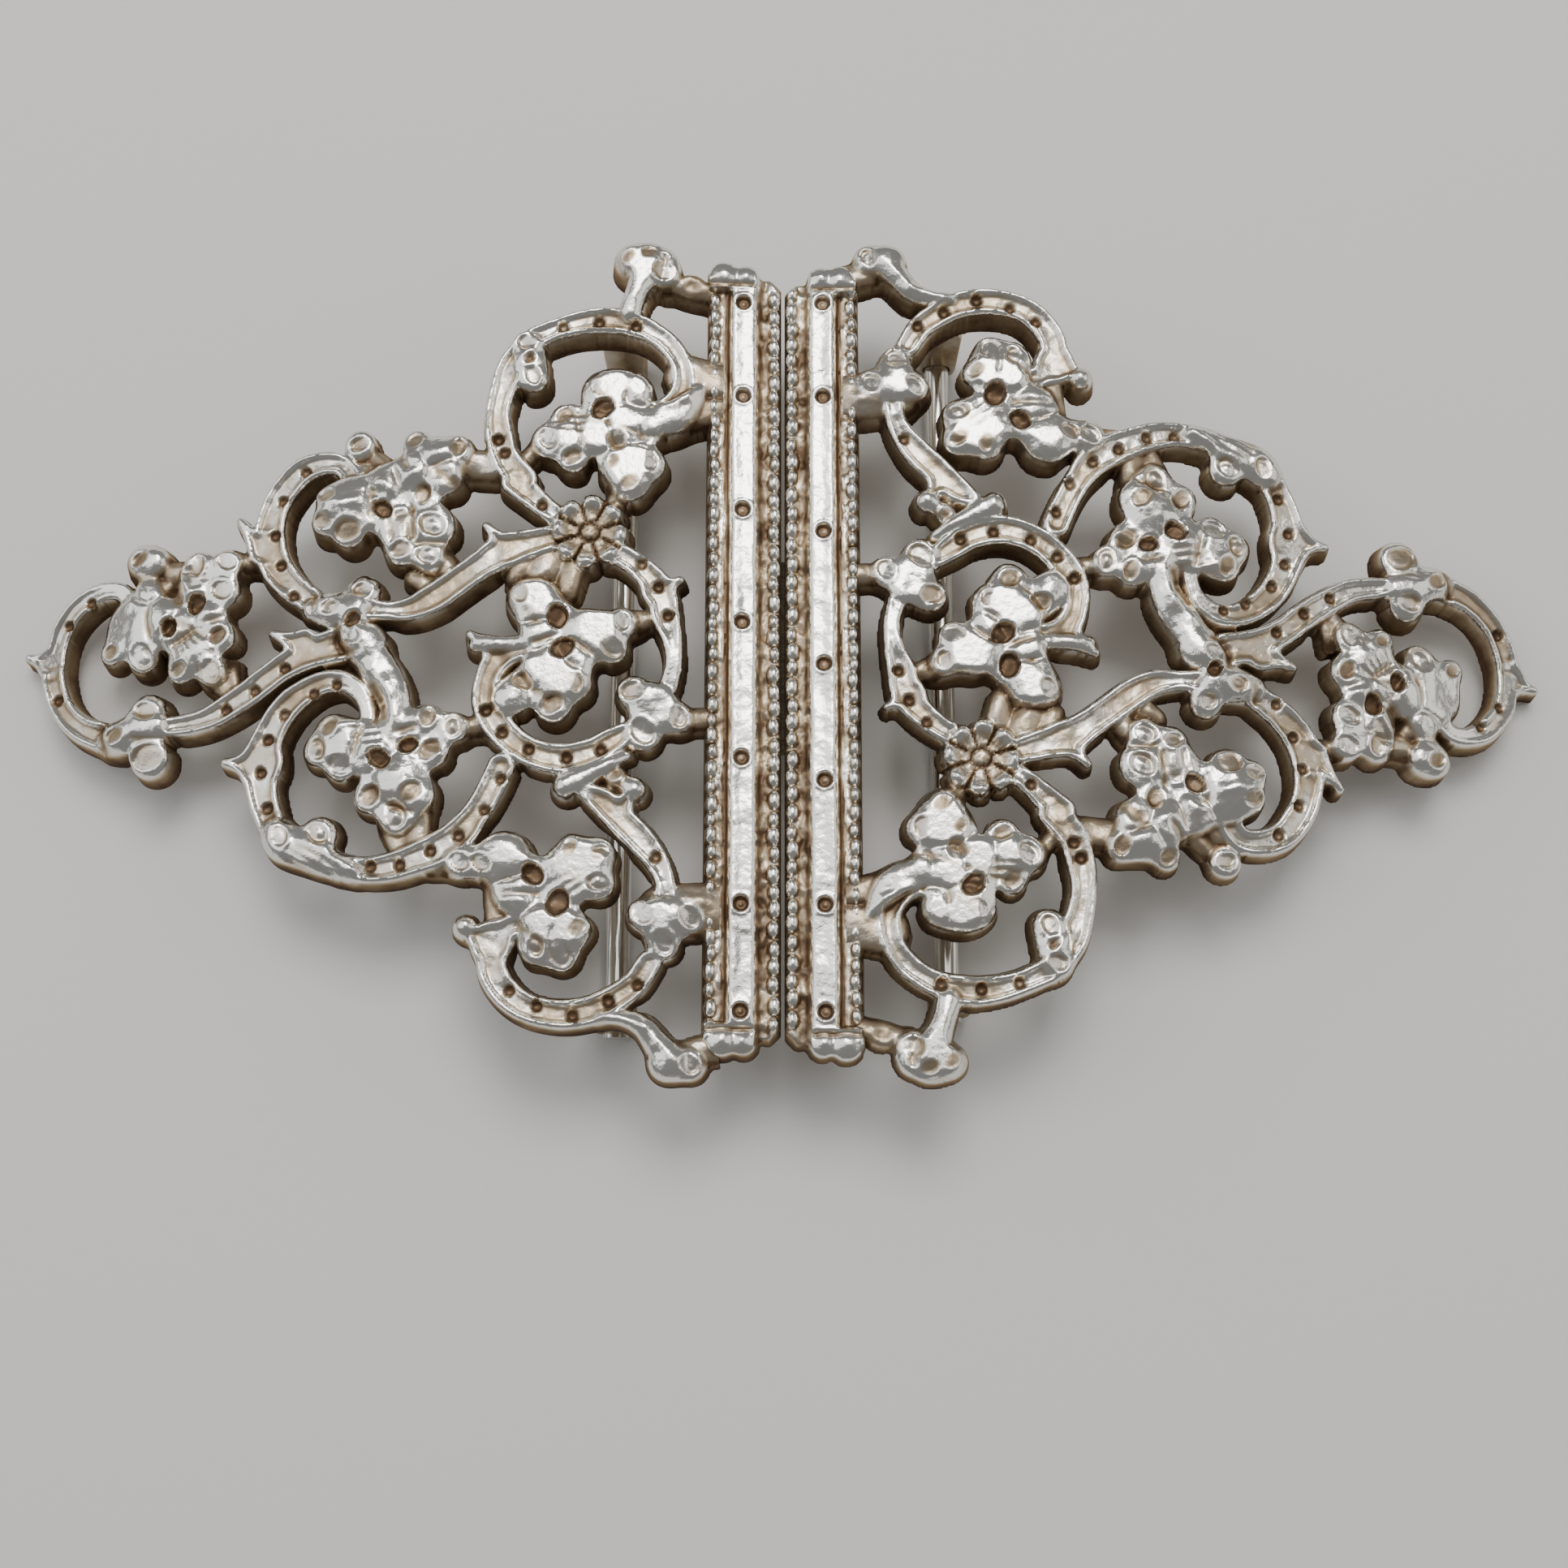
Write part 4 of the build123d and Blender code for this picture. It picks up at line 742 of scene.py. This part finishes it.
def thorns_of_bands():
    """The thorns that grow from each scroll band: a thorn belongs to the band nearest to its root."""
    owned = {name: [] for name in CHANNEL_BANDS}
    for thorn in THORNS:
        far = {}
        for name, rows in CHANNEL_BANDS.items():
            samples = along_curve(rows)
            far[name] = np.hypot(samples[:, 0] - thorn[2], samples[:, 1] - thorn[3]).min()
        owned[min(far, key=far.get)].append(thorn_rows(*thorn))
    return owned


def scrollwork():
    relief = Relief(*SCROLL_GRID, SCROLL_STEP)
    webs = [[(x0, y0, width), (x1, y1, width)] for x0, y0, x1, y1, width in WEBS]
    # The webs are darkened: partly tarnish, partly painted shade
    relief.flower([], webs, WEB_DROP, WEB_TARNISH_AND_SHADE)
    thorns = thorns_of_bands()
    sunk = np.zeros(relief.gx.shape)
    for name, rows in CHANNEL_BANDS.items():
        inside, width = relief.band(rows, thorns[name])
        floor = smooth_step(RIM - RIM_SLOPE / 2, RIM + RIM_SLOPE / 2, inside)
        floor *= smooth_step(*CHANNEL_WIDTH, width)
        sunk = np.maximum(sunk, floor)
        relief.dirt_and_shade *= 1 - 0.8 * smooth_step(-0.1, 0.1, inside)
    relief.level -= CHANNEL_DEPTH * sunk
    stained = FLOOR_STAIN + FLOOR_MOTTLE * mottle(relief.gx, relief.gy, 1.9, 32)
    relief.dirt_and_shade = np.maximum(relief.dirt_and_shade, stained * sunk)
    for name, rows in LEAF_BANDS.items():
        if name not in KNOBS:
            relief.flower([], [rows])
    relief.flower([], [HORN])
    for name, knobs in KNOBS.items():
        relief.flower(knobs, [LEAF_BANDS[name]] if name in LEAF_BANDS else [])
    for row in MARKS:
        relief.mark(*row)
    for row in FANS:
        fan(relief, *row)
    rosette(relief)
    for knobs in KNOBS.values():
        for x, y, radius, eye in knobs:
            if eye:
                relief.eye(x, y, eye, (x, y) in DEEP_EYES, (x, y) in BOSSED_EYES)
    for x, y in DOTS:
        relief.punch(x, y, DOT_RADIUS, relief.around(x, y, DOT_RADIUS) - DOT_DEPTH, 1.0)
    close_slivers(relief)
    relief.level = np.maximum(relief.level, VALLEY)
    return relief


def frame_bar():
    relief = Relief(*BAR_GRID, BAR_STEP)
    x, y = relief.gx, relief.gy
    across = -x
    edges = [BAR_OUTER - across, across - BAR_INNER, BAR_TOP - y, y - BAR_FOOT]
    corner_top = (across - BAR_INNER) - (y - (BAR_TOP - BAR_CORNER))
    corner_foot = (across - BAR_INNER) - ((BAR_FOOT + BAR_CORNER) - y)
    relief.inside = np.minimum.reduce(edges + [corner_top / 1.4, corner_foot / 1.4])
    stations, levels = zip(*BAR_SECTION)
    wave = BAR_WAVE * mottle(np.full_like(x, 3), y, 2.3, 11)
    relief.level = np.interp(across + wave, stations, levels) + 0.04 * mottle(x, y, 1.6, 12)
    relief.level = blur(relief.level, 1)
    groove = stripe(across + wave, *GROOVE)
    line = stripe(across + wave, *DARK_LINE)
    strip = smooth_step(*STRIP[:2], across + wave) * (1 - smooth_step(*STRIP[2:], across))
    relief.level += (GRAIN_RISE * groove + GRAIN_RISE * strip) * mottle(x * 1.3, y, 0.42, 13)
    patch = 0.5 + 0.5 * mottle(x, y, 0.5, 15)
    relief.dirt_and_shade = np.maximum.reduce([(0.15 + 0.3 * patch) * groove, 0.6 * line, 0.3 * patch * strip])
    for at, radius, foot, rise, pitch, stain in BEAD_LINES:
        place = np.arange(BAR_FOOT + 0.9, BAR_TOP - 0.5, pitch)
        place += 0.09 * np.sin(place * 7.3)
        near = place[np.argmin(np.abs(y[:, :1] - place[None, :]), axis=1)][:, None]
        size = radius * (1 + 0.1 * np.sin(near * 3.1))
        far = np.hypot(across - at - 0.05 * np.sin(near * 2.1), (y - near) * 0.7)
        ball = foot + rise * np.sqrt(np.clip(1 - (far / size)**2, 0, None))
        relief.level = np.where(far < size, np.maximum(relief.level, ball), relief.level)
        on_bead = smooth_step(size, size - 0.12, far)
        ditch = smooth_step(radius + 0.14, radius, np.abs(across - at)) * (1 - on_bead)
        relief.dirt_and_shade = np.maximum(relief.dirt_and_shade * (1 - on_bead), stain * ditch)
    for end, sign in ((BAR_TOP, 1), (BAR_FOOT, -1)):
        into = sign * (y - end) + CAP_LENGTH
        cap = smooth_step(0, 0.2, into) * smooth_step(1.55, 1.85, across)
        lip = 0.14 * bell(into - 0.15, 0.18) - 0.2 * bell(into - 0.5, 0.16)
        relief.level = relief.level * (1 - cap) + (0.14 + lip) * cap
        relief.dirt_and_shade = relief.dirt_and_shade * (1 - cap) + 0.5 * bell(into - 0.5, 0.16) * cap
    for cx, cy, radius in BAR_CAPS:
        relief.lobe(cx, cy, radius)
    for dot_y in BAND_DOTS:
        far = np.hypot(across - BAND_DOT_AT, y - dot_y)
        relief.level += 0.05 * bell(far - BAND_DOT_RADIUS - 0.16, 0.12)
        relief.punch(-BAND_DOT_AT, dot_y, BAND_DOT_RADIUS, -0.2, 1.0, 0.08, 0.12)
    relief.level += np.minimum(rounded_edge(relief.inside), 0)
    relief.level = np.maximum(relief.level, VALLEY)
    return relief


def finish_relief(relief, bends, rough):
    """Top level in millimetres above the floor, with the cast skin, and how much tarnish and painted shade
    each point has.
    """
    x, y = relief.gx, relief.gy
    per_mm = 1 / relief.step
    metal = smooth_step(-0.2, 0.0, relief.inside)
    level = relief.level * metal + (1 - metal) * -0.6
    hollow = 0
    for reach, least, gain, most in HOLLOWS:
        around = blur(level, max(least, int(reach * per_mm)))
        hollow = hollow + np.clip(gain * (around - level), 0, most)
    low = smooth_step(-0.15, -0.8, relief.level)
    slope_y, slope_x = np.gradient(blur(relief.level, 1), relief.step)
    flank = smooth_step(0.5, 1.8, np.hypot(slope_x, slope_y))
    even, more = PATCH_STAIN
    # Tarnish in hollows and low places; painted dark reflection on steep flanks
    tarnish_and_shade = relief.dirt_and_shade + HOLLOW_STAIN * hollow + LOW_STAIN * low + FLANK_TARNISH_AND_SHADE * flank
    tarnish_and_shade = tarnish_and_shade + lumps(x, y, PATCHES) * (even + more * low + more * hollow)
    top = arch(x) + relief.level + rough * lumps(x, y, SKIN) + bends
    return -smooth_max(-top, -BOX_HIGH[2], TOP_BLEND), np.clip(tarnish_and_shade, 0, 1)


def cell_polygons(case, corner, cross):
    """Polygons of the grid cells, counter-clockwise, and those of their edges that run along the outline."""
    polygons = []
    edges = []
    for code in range(1, 16):
        cells = case == code
        if not cells.any():
            continue
        turn = []
        for k in range(4):
            here = code >> k & 1
            if here:
                turn.append((corner[k][cells], False))
            if here != code >> (k + 1) % 4 & 1:
                turn.append((cross[k][cells], True))
        polygons.append(np.column_stack([numbers for numbers, _ in turn]))
        for (a, a_cut), (b, b_cut) in zip(turn, turn[1:] + turn[:1]):
            if a_cut and b_cut:
                edges.append(np.column_stack([a, b]))
    return polygons, edges


def cast_mesh(name, relief, top, tarnish_and_shade):
    """A closed mesh: the relief in front, walls with draft all round, and a plain back with larger faces."""
    x, y, field = relief.gx, relief.gy, relief.inside
    rows, cols = field.shape
    solid = field > 0
    solid[[0, -1]] = False
    solid[:, [0, -1]] = False
    slope_y, slope_x = np.gradient(field, relief.step)
    back = arch(x) - CAST_THICK

    # Grid points inside the outline, then points where the outline crosses the grid lines
    data = []

    def add_points(px, py, pz, dirt_and_shade, out_x, out_y, low):
        data.append(np.column_stack([px, py, pz, dirt_and_shade, out_x, out_y, low]))

    ids = np.full((rows, cols), -1)
    count = int(solid.sum())
    ids[solid] = np.arange(count)
    zero = np.zeros(count)
    add_points(x[solid], y[solid], top[solid], tarnish_and_shade[solid], zero, zero, back[solid])

    def crossings(a, b, first):
        cut = solid[a] != solid[b]
        numbers = np.full(cut.shape, -1)
        numbers[cut] = first + np.arange(int(cut.sum()))
        t = np.clip((field[a] / np.where(cut, field[a] - field[b], 1))[cut], 0.1, 0.9)

        def blend(values):
            return values[a][cut] * (1 - t) + values[b][cut] * t

        inner_top = np.where(solid[a][cut], top[a][cut], top[b][cut])
        rim_top = np.clip(blend(top), inner_top - RIM_FALL[0], inner_top - RIM_FALL[1])
        inner_dirt_and_shade = np.where(solid[a][cut], tarnish_and_shade[a][cut], tarnish_and_shade[b][cut])
        run = np.maximum(np.hypot(blend(slope_x), blend(slope_y)), 1e-6)
        # Rim points get at least some painted shade, the start of the walls' painted shade
        add_points(blend(x), blend(y), rim_top, np.maximum(inner_dirt_and_shade, RIM_PAINTED_SHADE),
                   -blend(slope_x) / run, -blend(slope_y) / run, blend(back))
        return numbers, first + int(cut.sum())

    across_cut, after = crossings(np.s_[:, :-1], np.s_[:, 1:], count)
    up_cut, total = crossings(np.s_[:-1, :], np.s_[1:, :], after)
    points = np.vstack(data)

    corner = [ids[:-1, :-1], ids[:-1, 1:], ids[1:, 1:], ids[1:, :-1]]
    cross = [across_cut[:-1, :], up_cut[:, 1:], across_cut[1:, :], up_cut[:, :-1]]
    case = sum((c >= 0).astype(int) << k for k, c in enumerate(corner))
    front_faces, rim_edges = cell_polygons(case, corner, cross)
    rim_edges = np.vstack(rim_edges)

    # Walls: rows of points below the rim, further out towards the back where nothing else is near
    rim = np.arange(count, total)
    probe_x = (points[rim, 0] + WALL_PROBE * points[rim, 4] - relief.x[0]) / relief.step
    probe_y = (points[rim, 1] + WALL_PROBE * points[rim, 5] - relief.y[0]) / relief.step
    probe = np.clip(probe_y.astype(int), 0, rows - 1), np.clip(probe_x.astype(int), 0, cols - 1)
    room = np.clip(-field[probe] / WALL_PROBE, 0.1, 1)
    vertices = [points[:, :3]]
    dirt_and_shade = [points[:, 3]]
    wall_faces = []
    upper = np.arange(total)
    size = total
    for share, out, stain in WALL_ROWS:
        low = points[rim, 2] + (points[rim, 6] - points[rim, 2]) * share
        shift = DRAFT * out * room
        vertices.append(np.column_stack([points[rim, 0] + points[rim, 4] * shift,
                                         points[rim, 1] + points[rim, 5] * shift, low]))
        # Painted shade of the walls, with their tarnish, darker towards the back
        dirt_and_shade.append(np.full(len(rim), stain))
        lower = np.full(total, -1)
        lower[rim] = size + np.arange(len(rim))
        a, b = rim_edges.T
        wall_faces.append(np.column_stack([upper[b], upper[a], lower[a], lower[b]]))
        upper = lower
        size += len(rim)

    # Back: the same cells, in large blocks where the metal is whole
    whole = case == 15
    n = BACK_BLOCK
    block_rows, block_cols = whole.shape[0] // n, whole.shape[1] // n
    blocks = whole[:block_rows * n, :block_cols * n].reshape(block_rows, n, block_cols, n).all(axis=(1, 3))
    covered = np.zeros(whole.shape, bool)
    covered[:block_rows * n, :block_cols * n] = np.repeat(np.repeat(blocks, n, 0), n, 1)
    back_polygons = []
    ringed = np.pad(blocks, 1)
    bi, bj = np.nonzero(blocks)
    joined = [ringed[bi, bj + 1], ringed[bi + 1, bj + 2], ringed[bi + 2, bj + 1], ringed[bi + 1, bj]]
    for code in range(16):
        pick = np.ones(len(bi), bool)
        for k in range(4):
            pick &= joined[k] == bool(code >> k & 1)
        if not pick.any():
            continue
        i0, j0 = bi[pick] * n, bj[pick] * n
        turn = []
        for k, (si, sj, di, dj) in enumerate(((0, 0, 0, 1), (0, n, 1, 0), (n, n, 0, -1), (n, 0, -1, 0))):
            for m in range(1 if code >> k & 1 else n):
                turn.append(ids[i0 + si + di * m, j0 + sj + dj * m])
        back_polygons.append(np.column_stack(turn))
    back_polygons += cell_polygons(np.where(covered, 0, case), corner, cross)[0]
    used = np.zeros(count, bool)
    for polygons in back_polygons:
        inner = polygons[polygons < count]
        used[inner] = True
    below = upper.copy()
    below[:count][used] = size + np.arange(int(used.sum()))
    vertices.append(points[:count][used][:, [0, 1, 6]])
    dirt_and_shade.append(np.full(int(used.sum()), BACK_STAIN))
    back_faces = [below[polygons[:, ::-1]] for polygons in back_polygons]

    all_faces = [face for faces in front_faces + wall_faces + back_faces for face in faces.tolist()]
    all_vertices = np.clip(np.vstack(vertices), BOX_LOW, BOX_HIGH) * MM
    mesh = bpy.data.meshes.new(name)
    mesh.from_pydata(all_vertices.tolist(), [], all_faces)
    mesh.shade_smooth()
    mesh.set_sharp_from_angle(angle=SHARP)
    set_tarnish_and_shade(mesh, np.concatenate(dirt_and_shade))
    mesh.validate()
    return mesh


# Each point's tarnish and painted shade, as an attribute that the silver reads
def set_tarnish_and_shade(mesh, values):
    stain = mesh.attributes.new("tarnish_and_shade", "FLOAT", "POINT")
    stain.data.foreach_set("value", values.astype(np.float32))


def lug_mesh():
    """The two drilled lugs under the left half, as one mesh."""
    shape = bmesh.new()
    top = float(arch(-BELT_BAR_AT)) - CAST_THICK + LUG_ROOT
    for at in LUGS_AT:
        rings = []
        for y in (at - LUG_THICK / 2, at + LUG_THICK / 2):
            outer = []
            inner = []
            for k in range(LUG_SIDES):
                a = 2 * pi * k / LUG_SIDES
                dx, dz = np.cos(a), np.sin(a)
                reach = LUG_RADIUS
                if dz > 0:
                    reach = min(LUG_RADIUS / max(abs(dx), 1e-6), (top - BELT_BAR_LEVEL) / dz)
                outer.append(shape.verts.new(((-BELT_BAR_AT + dx * reach) * MM, y * MM,
                                              (BELT_BAR_LEVEL + dz * reach) * MM)))
                inner.append(shape.verts.new(((-BELT_BAR_AT + dx * LUG_BORE) * MM, y * MM,
                                              (BELT_BAR_LEVEL + dz * LUG_BORE) * MM)))
            rings.append((outer, inner))
        (outer_a, inner_a), (outer_b, inner_b) = rings
        for k in range(LUG_SIDES):
            m = (k + 1) % LUG_SIDES
            shape.faces.new((outer_a[k], outer_a[m], inner_a[m], inner_a[k]))
            shape.faces.new((outer_b[m], outer_b[k], inner_b[k], inner_b[m]))
            shape.faces.new((outer_a[m], outer_a[k], outer_b[k], outer_b[m]))
            shape.faces.new((inner_a[k], inner_a[m], inner_b[m], inner_b[k]))
    bmesh.ops.recalc_face_normals(shape, faces=shape.faces)
    edges = [e for e in shape.edges if len(e.link_faces) == 2 and e.calc_face_angle() > SHARP]
    bmesh.ops.bevel(shape, geom=edges, offset=LUG_BEVEL * MM, segments=2, affect="EDGES", profile=0.5)
    mesh = bpy.data.meshes.new("lugs")
    shape.to_mesh(mesh)
    shape.free()
    mesh.shade_smooth()
    set_tarnish_and_shade(mesh, np.full(len(mesh.vertices), LUG_STAIN))
    return mesh


def joined(name, meshes, material):
    """One piece made of several meshes, in its place."""
    whole = bmesh.new()
    for mesh in meshes:
        whole.from_mesh(mesh)
    mesh = bpy.data.meshes.new(name)
    whole.to_mesh(mesh)
    whole.free()
    mesh.materials.append(material)
    return mesh


def show(name, mesh, replaced):
    piece = bpy.data.objects.new(name, mesh)
    bpy.context.scene.collection.objects.link(piece)
    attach(piece, "root")
    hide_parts(replaced)


def node(tree, kind, numbers, **links):
    """A shader node with numbers set and outputs linked to its sockets."""
    made = tree.nodes.new(kind)
    for socket, value in numbers.items():
        made.inputs[socket].default_value = value
    for socket, output in links.items():
        tree.links.new(output, made.inputs[socket])
    return made


def noise(tree, place, scale, detail):
    return node(tree, "ShaderNodeTexNoise", {"Scale": scale, "Detail": detail}, Vector=place).outputs["Fac"]


def remap(tree, value, from_low, from_high, to_low, to_high):
    """A value carried from one range to another."""
    ends = {"From Min": from_low, "From Max": from_high, "To Min": to_low, "To Max": to_high}
    return node(tree, "ShaderNodeMapRange", ends, Value=value).outputs["Result"]


def ramp(tree, value, stops):
    """Colours by a value: the stops at both ends come first, then what lies between."""
    made = node(tree, "ShaderNodeValToRGB", {}, Fac=value)
    elements = made.color_ramp.elements
    for k, (position, colour) in enumerate(stops):
        stop = elements[k] if k < 2 else elements.new(position)
        stop.position = position
        stop.color = (*colour, 1)
    return made.outputs["Color"]


def new_metal(name):
    """A new material, its tree, its shader and the place on the object."""
    material = bpy.data.materials.new(name)
    material.use_nodes = True
    tree = material.node_tree
    place = tree.nodes.new("ShaderNodeTexCoord").outputs["Object"]
    return material, tree, tree.nodes["Principled BSDF"], place


def roughen(tree, shader, height, strength, distance):
    bump = node(tree, "ShaderNodeBump", {"Strength": strength, "Distance": distance}, Height=height)
    tree.links.new(bump.outputs["Normal"], shader.inputs["Normal"])


def silver_with_tarnish_and_shade(name, silver, tan, brown, polish, dull):
    """Silver that turns from tan to brown by the tarnish and painted shade held in the mesh: tarnish in
    recesses, painted shade on walls, webs and steep flanks.
    """
    material, tree, shader, place = new_metal(name)
    # Reads the tarnish and painted shade held in the mesh
    stain = tree.nodes.new("ShaderNodeAttribute")
    stain.attribute_name = "tarnish_and_shade"
    uneven = remap(tree, noise(tree, place, scale=420.0, detail=5.0), 0.3, 0.7, -0.16, 0.16)
    total = tree.nodes.new("ShaderNodeMath")
    total.operation = "ADD"
    total.use_clamp = True
    tree.links.new(stain.outputs["Fac"], total.inputs[0])
    tree.links.new(uneven, total.inputs[1])
    depth = total.outputs["Value"]
    colour = ramp(tree, depth, [(0.12, silver), (0.97, brown), (0.55, tan)])
    tree.links.new(colour, shader.inputs["Base Color"])
    tree.links.new(colour, shader.inputs["Specular Tint"])
    tree.links.new(remap(tree, depth, 0.4, 1.0, 1.0, 0.75), shader.inputs["Metallic"])
    tree.links.new(remap(tree, depth, 0.1, 0.8, polish, dull), shader.inputs["Roughness"])
    roughen(tree, shader, noise(tree, place, scale=2600.0, detail=3.0), strength=0.45, distance=0.00009)
    return material


def plain_metal(name, base, roughness, stretch):
    """Drawn or rolled silver with fine lines along one direction."""
    material, tree, shader, place = new_metal(name)
    shader.inputs["Metallic"].default_value = 1.0
    fit = node(tree, "ShaderNodeMapping", {"Scale": stretch}, Vector=place)
    lines = noise(tree, fit.outputs["Vector"], scale=900.0, detail=3.0)
    colour = ramp(tree, lines, [(0.3, [c * 0.72 for c in base]), (0.6, base)])
    tree.links.new(colour, shader.inputs["Base Color"])
    rough = remap(tree, lines, 0, 1, roughness * 1.4, roughness * 0.8)
    tree.links.new(rough, shader.inputs["Roughness"])
    roughen(tree, shader, lines, strength=0.2, distance=0.00005)
    return material


# Castings
SILVER = (0.88, 0.86, 0.805)
TAN = (0.50, 0.40, 0.28)
BROWN = (0.14, 0.09, 0.055)
cast_silver = silver_with_tarnish_and_shade("cast_silver", SILVER, TAN, BROWN, polish=0.2, dull=0.45)
half_turn = Matrix.Rotation(pi, 4, "Z")
scroll = scrollwork()
scroll_mesh = cast_mesh("scrollwork", scroll, *finish_relief(scroll, bend(scroll), SCROLL_SKIN))
bar = frame_bar()
bar_mesh = cast_mesh("frame_bar", bar, *finish_relief(bar, 0, BAR_SKIN))
lugs = lug_mesh()
for side in ("left", "right"):
    work = joined("scrollwork_" + side, [scroll_mesh, lugs], cast_silver)
    strip = joined("frame_bar_" + side, [bar_mesh], cast_silver)
    if side == "right":
        work.transform(half_turn)
        strip.transform(half_turn)
    show("scrollwork_" + side, work, "openwork_" + side)
    show("frame_bar_" + side, strip, "openwork_" + side)

# Belt bars and clasp plate keep their own shapes
polished = plain_metal("polished_silver", (0.80, 0.78, 0.73), 0.14, (6.0, 0.2, 6.0))
sheet = plain_metal("plain_silver", (0.20, 0.17, 0.13), 0.6, (1.0, 8.0, 1.0))
for name, material in (("belt_bar_left", polished), ("belt_bar_right", polished), ("clasp_hook", sheet)):
    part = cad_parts[name]
    part.data.materials.clear()
    part.data.materials.append(material)

# Stage: a plain pale floor
FLOOR_SIZE = 1.6
floor_mesh = bpy.data.meshes.new("floor")
edge = FLOOR_SIZE / 2
corners = [(-edge, -edge, 0), (edge, -edge, 0), (edge, edge, 0), (-edge, edge, 0)]
floor_mesh.from_pydata(corners, [], [(0, 1, 2, 3)])
floor = bpy.data.objects.new("floor", floor_mesh)
bpy.context.scene.collection.objects.link(floor)
paper = bpy.data.materials.new("floor_paper")
paper.use_nodes = True
paper_shader = paper.node_tree.nodes["Principled BSDF"]
paper_shader.inputs["Base Color"].default_value = (0.78, 0.77, 0.75, 1)
paper_shader.inputs["Roughness"].default_value = 0.85
floor_mesh.materials.append(paper)

# Light: dim even surroundings, a key panel and a broad one behind the buckle's top edge, one for each side
world = bpy.data.worlds.new("studio")
bpy.context.scene.world = world
world.use_nodes = True
surroundings = world.node_tree.nodes["Background"]
surroundings.inputs["Color"].default_value = (0.86, 0.86, 0.85, 1)
surroundings.inputs["Strength"].default_value = 0.24

# Soft panels turned towards the floor's middle, in metres; columns: name, place, width, height, power, tint
PANELS = [
    ("key", (0.02, 0.20, 0.405), 0.20, 0.18, 0.8, (1.0, 0.99, 0.97)),
    ("broad", (0.0, 0.20, 0.60), 0.60, 0.45, 1.15, (1.0, 0.99, 0.97)),
    ("sky", (-0.36, 0.08, 0.32), 0.45, 0.45, 0.8, (0.95, 0.97, 1.0)),
    ("side", (0.40, 0.05, 0.25), 0.35, 0.35, 0.35, (1.0, 0.98, 0.95)),
]
for name, place, width, height, power, tint in PANELS:
    lamp = bpy.data.lights.new(name, "AREA")
    lamp.shape = "RECTANGLE"
    lamp.size = width
    lamp.size_y = height
    lamp.energy = power
    lamp.color = tint
    holder = bpy.data.objects.new(name, lamp)
    bpy.context.scene.collection.objects.link(holder)
    holder.rotation_euler = (Vector((0, 0, 0)) - Vector(place)).to_track_quat("-Z", "Y").to_euler()
    holder.location = place

# Camera, at the photograph's place over the buckle
CAMERA_AT = (-0.7, -33.9, 120.1)
CAMERA_AXES = ((1.0, -0.0015, -0.0066), (0.0, 0.9753, -0.2208), (0.0068, 0.2208, 0.9753))
lens = bpy.data.cameras.new("camera")
lens.sensor_fit = "HORIZONTAL"
lens.sensor_width = 36.0
lens.lens = 44.72
lens.clip_start = 0.005
camera = bpy.data.objects.new("camera", lens)
bpy.context.scene.collection.objects.link(camera)
turn = Matrix(CAMERA_AXES).to_4x4()
camera.matrix_world = Matrix.Translation([v * MM for v in CAMERA_AT]) @ turn
bpy.context.scene.camera = camera
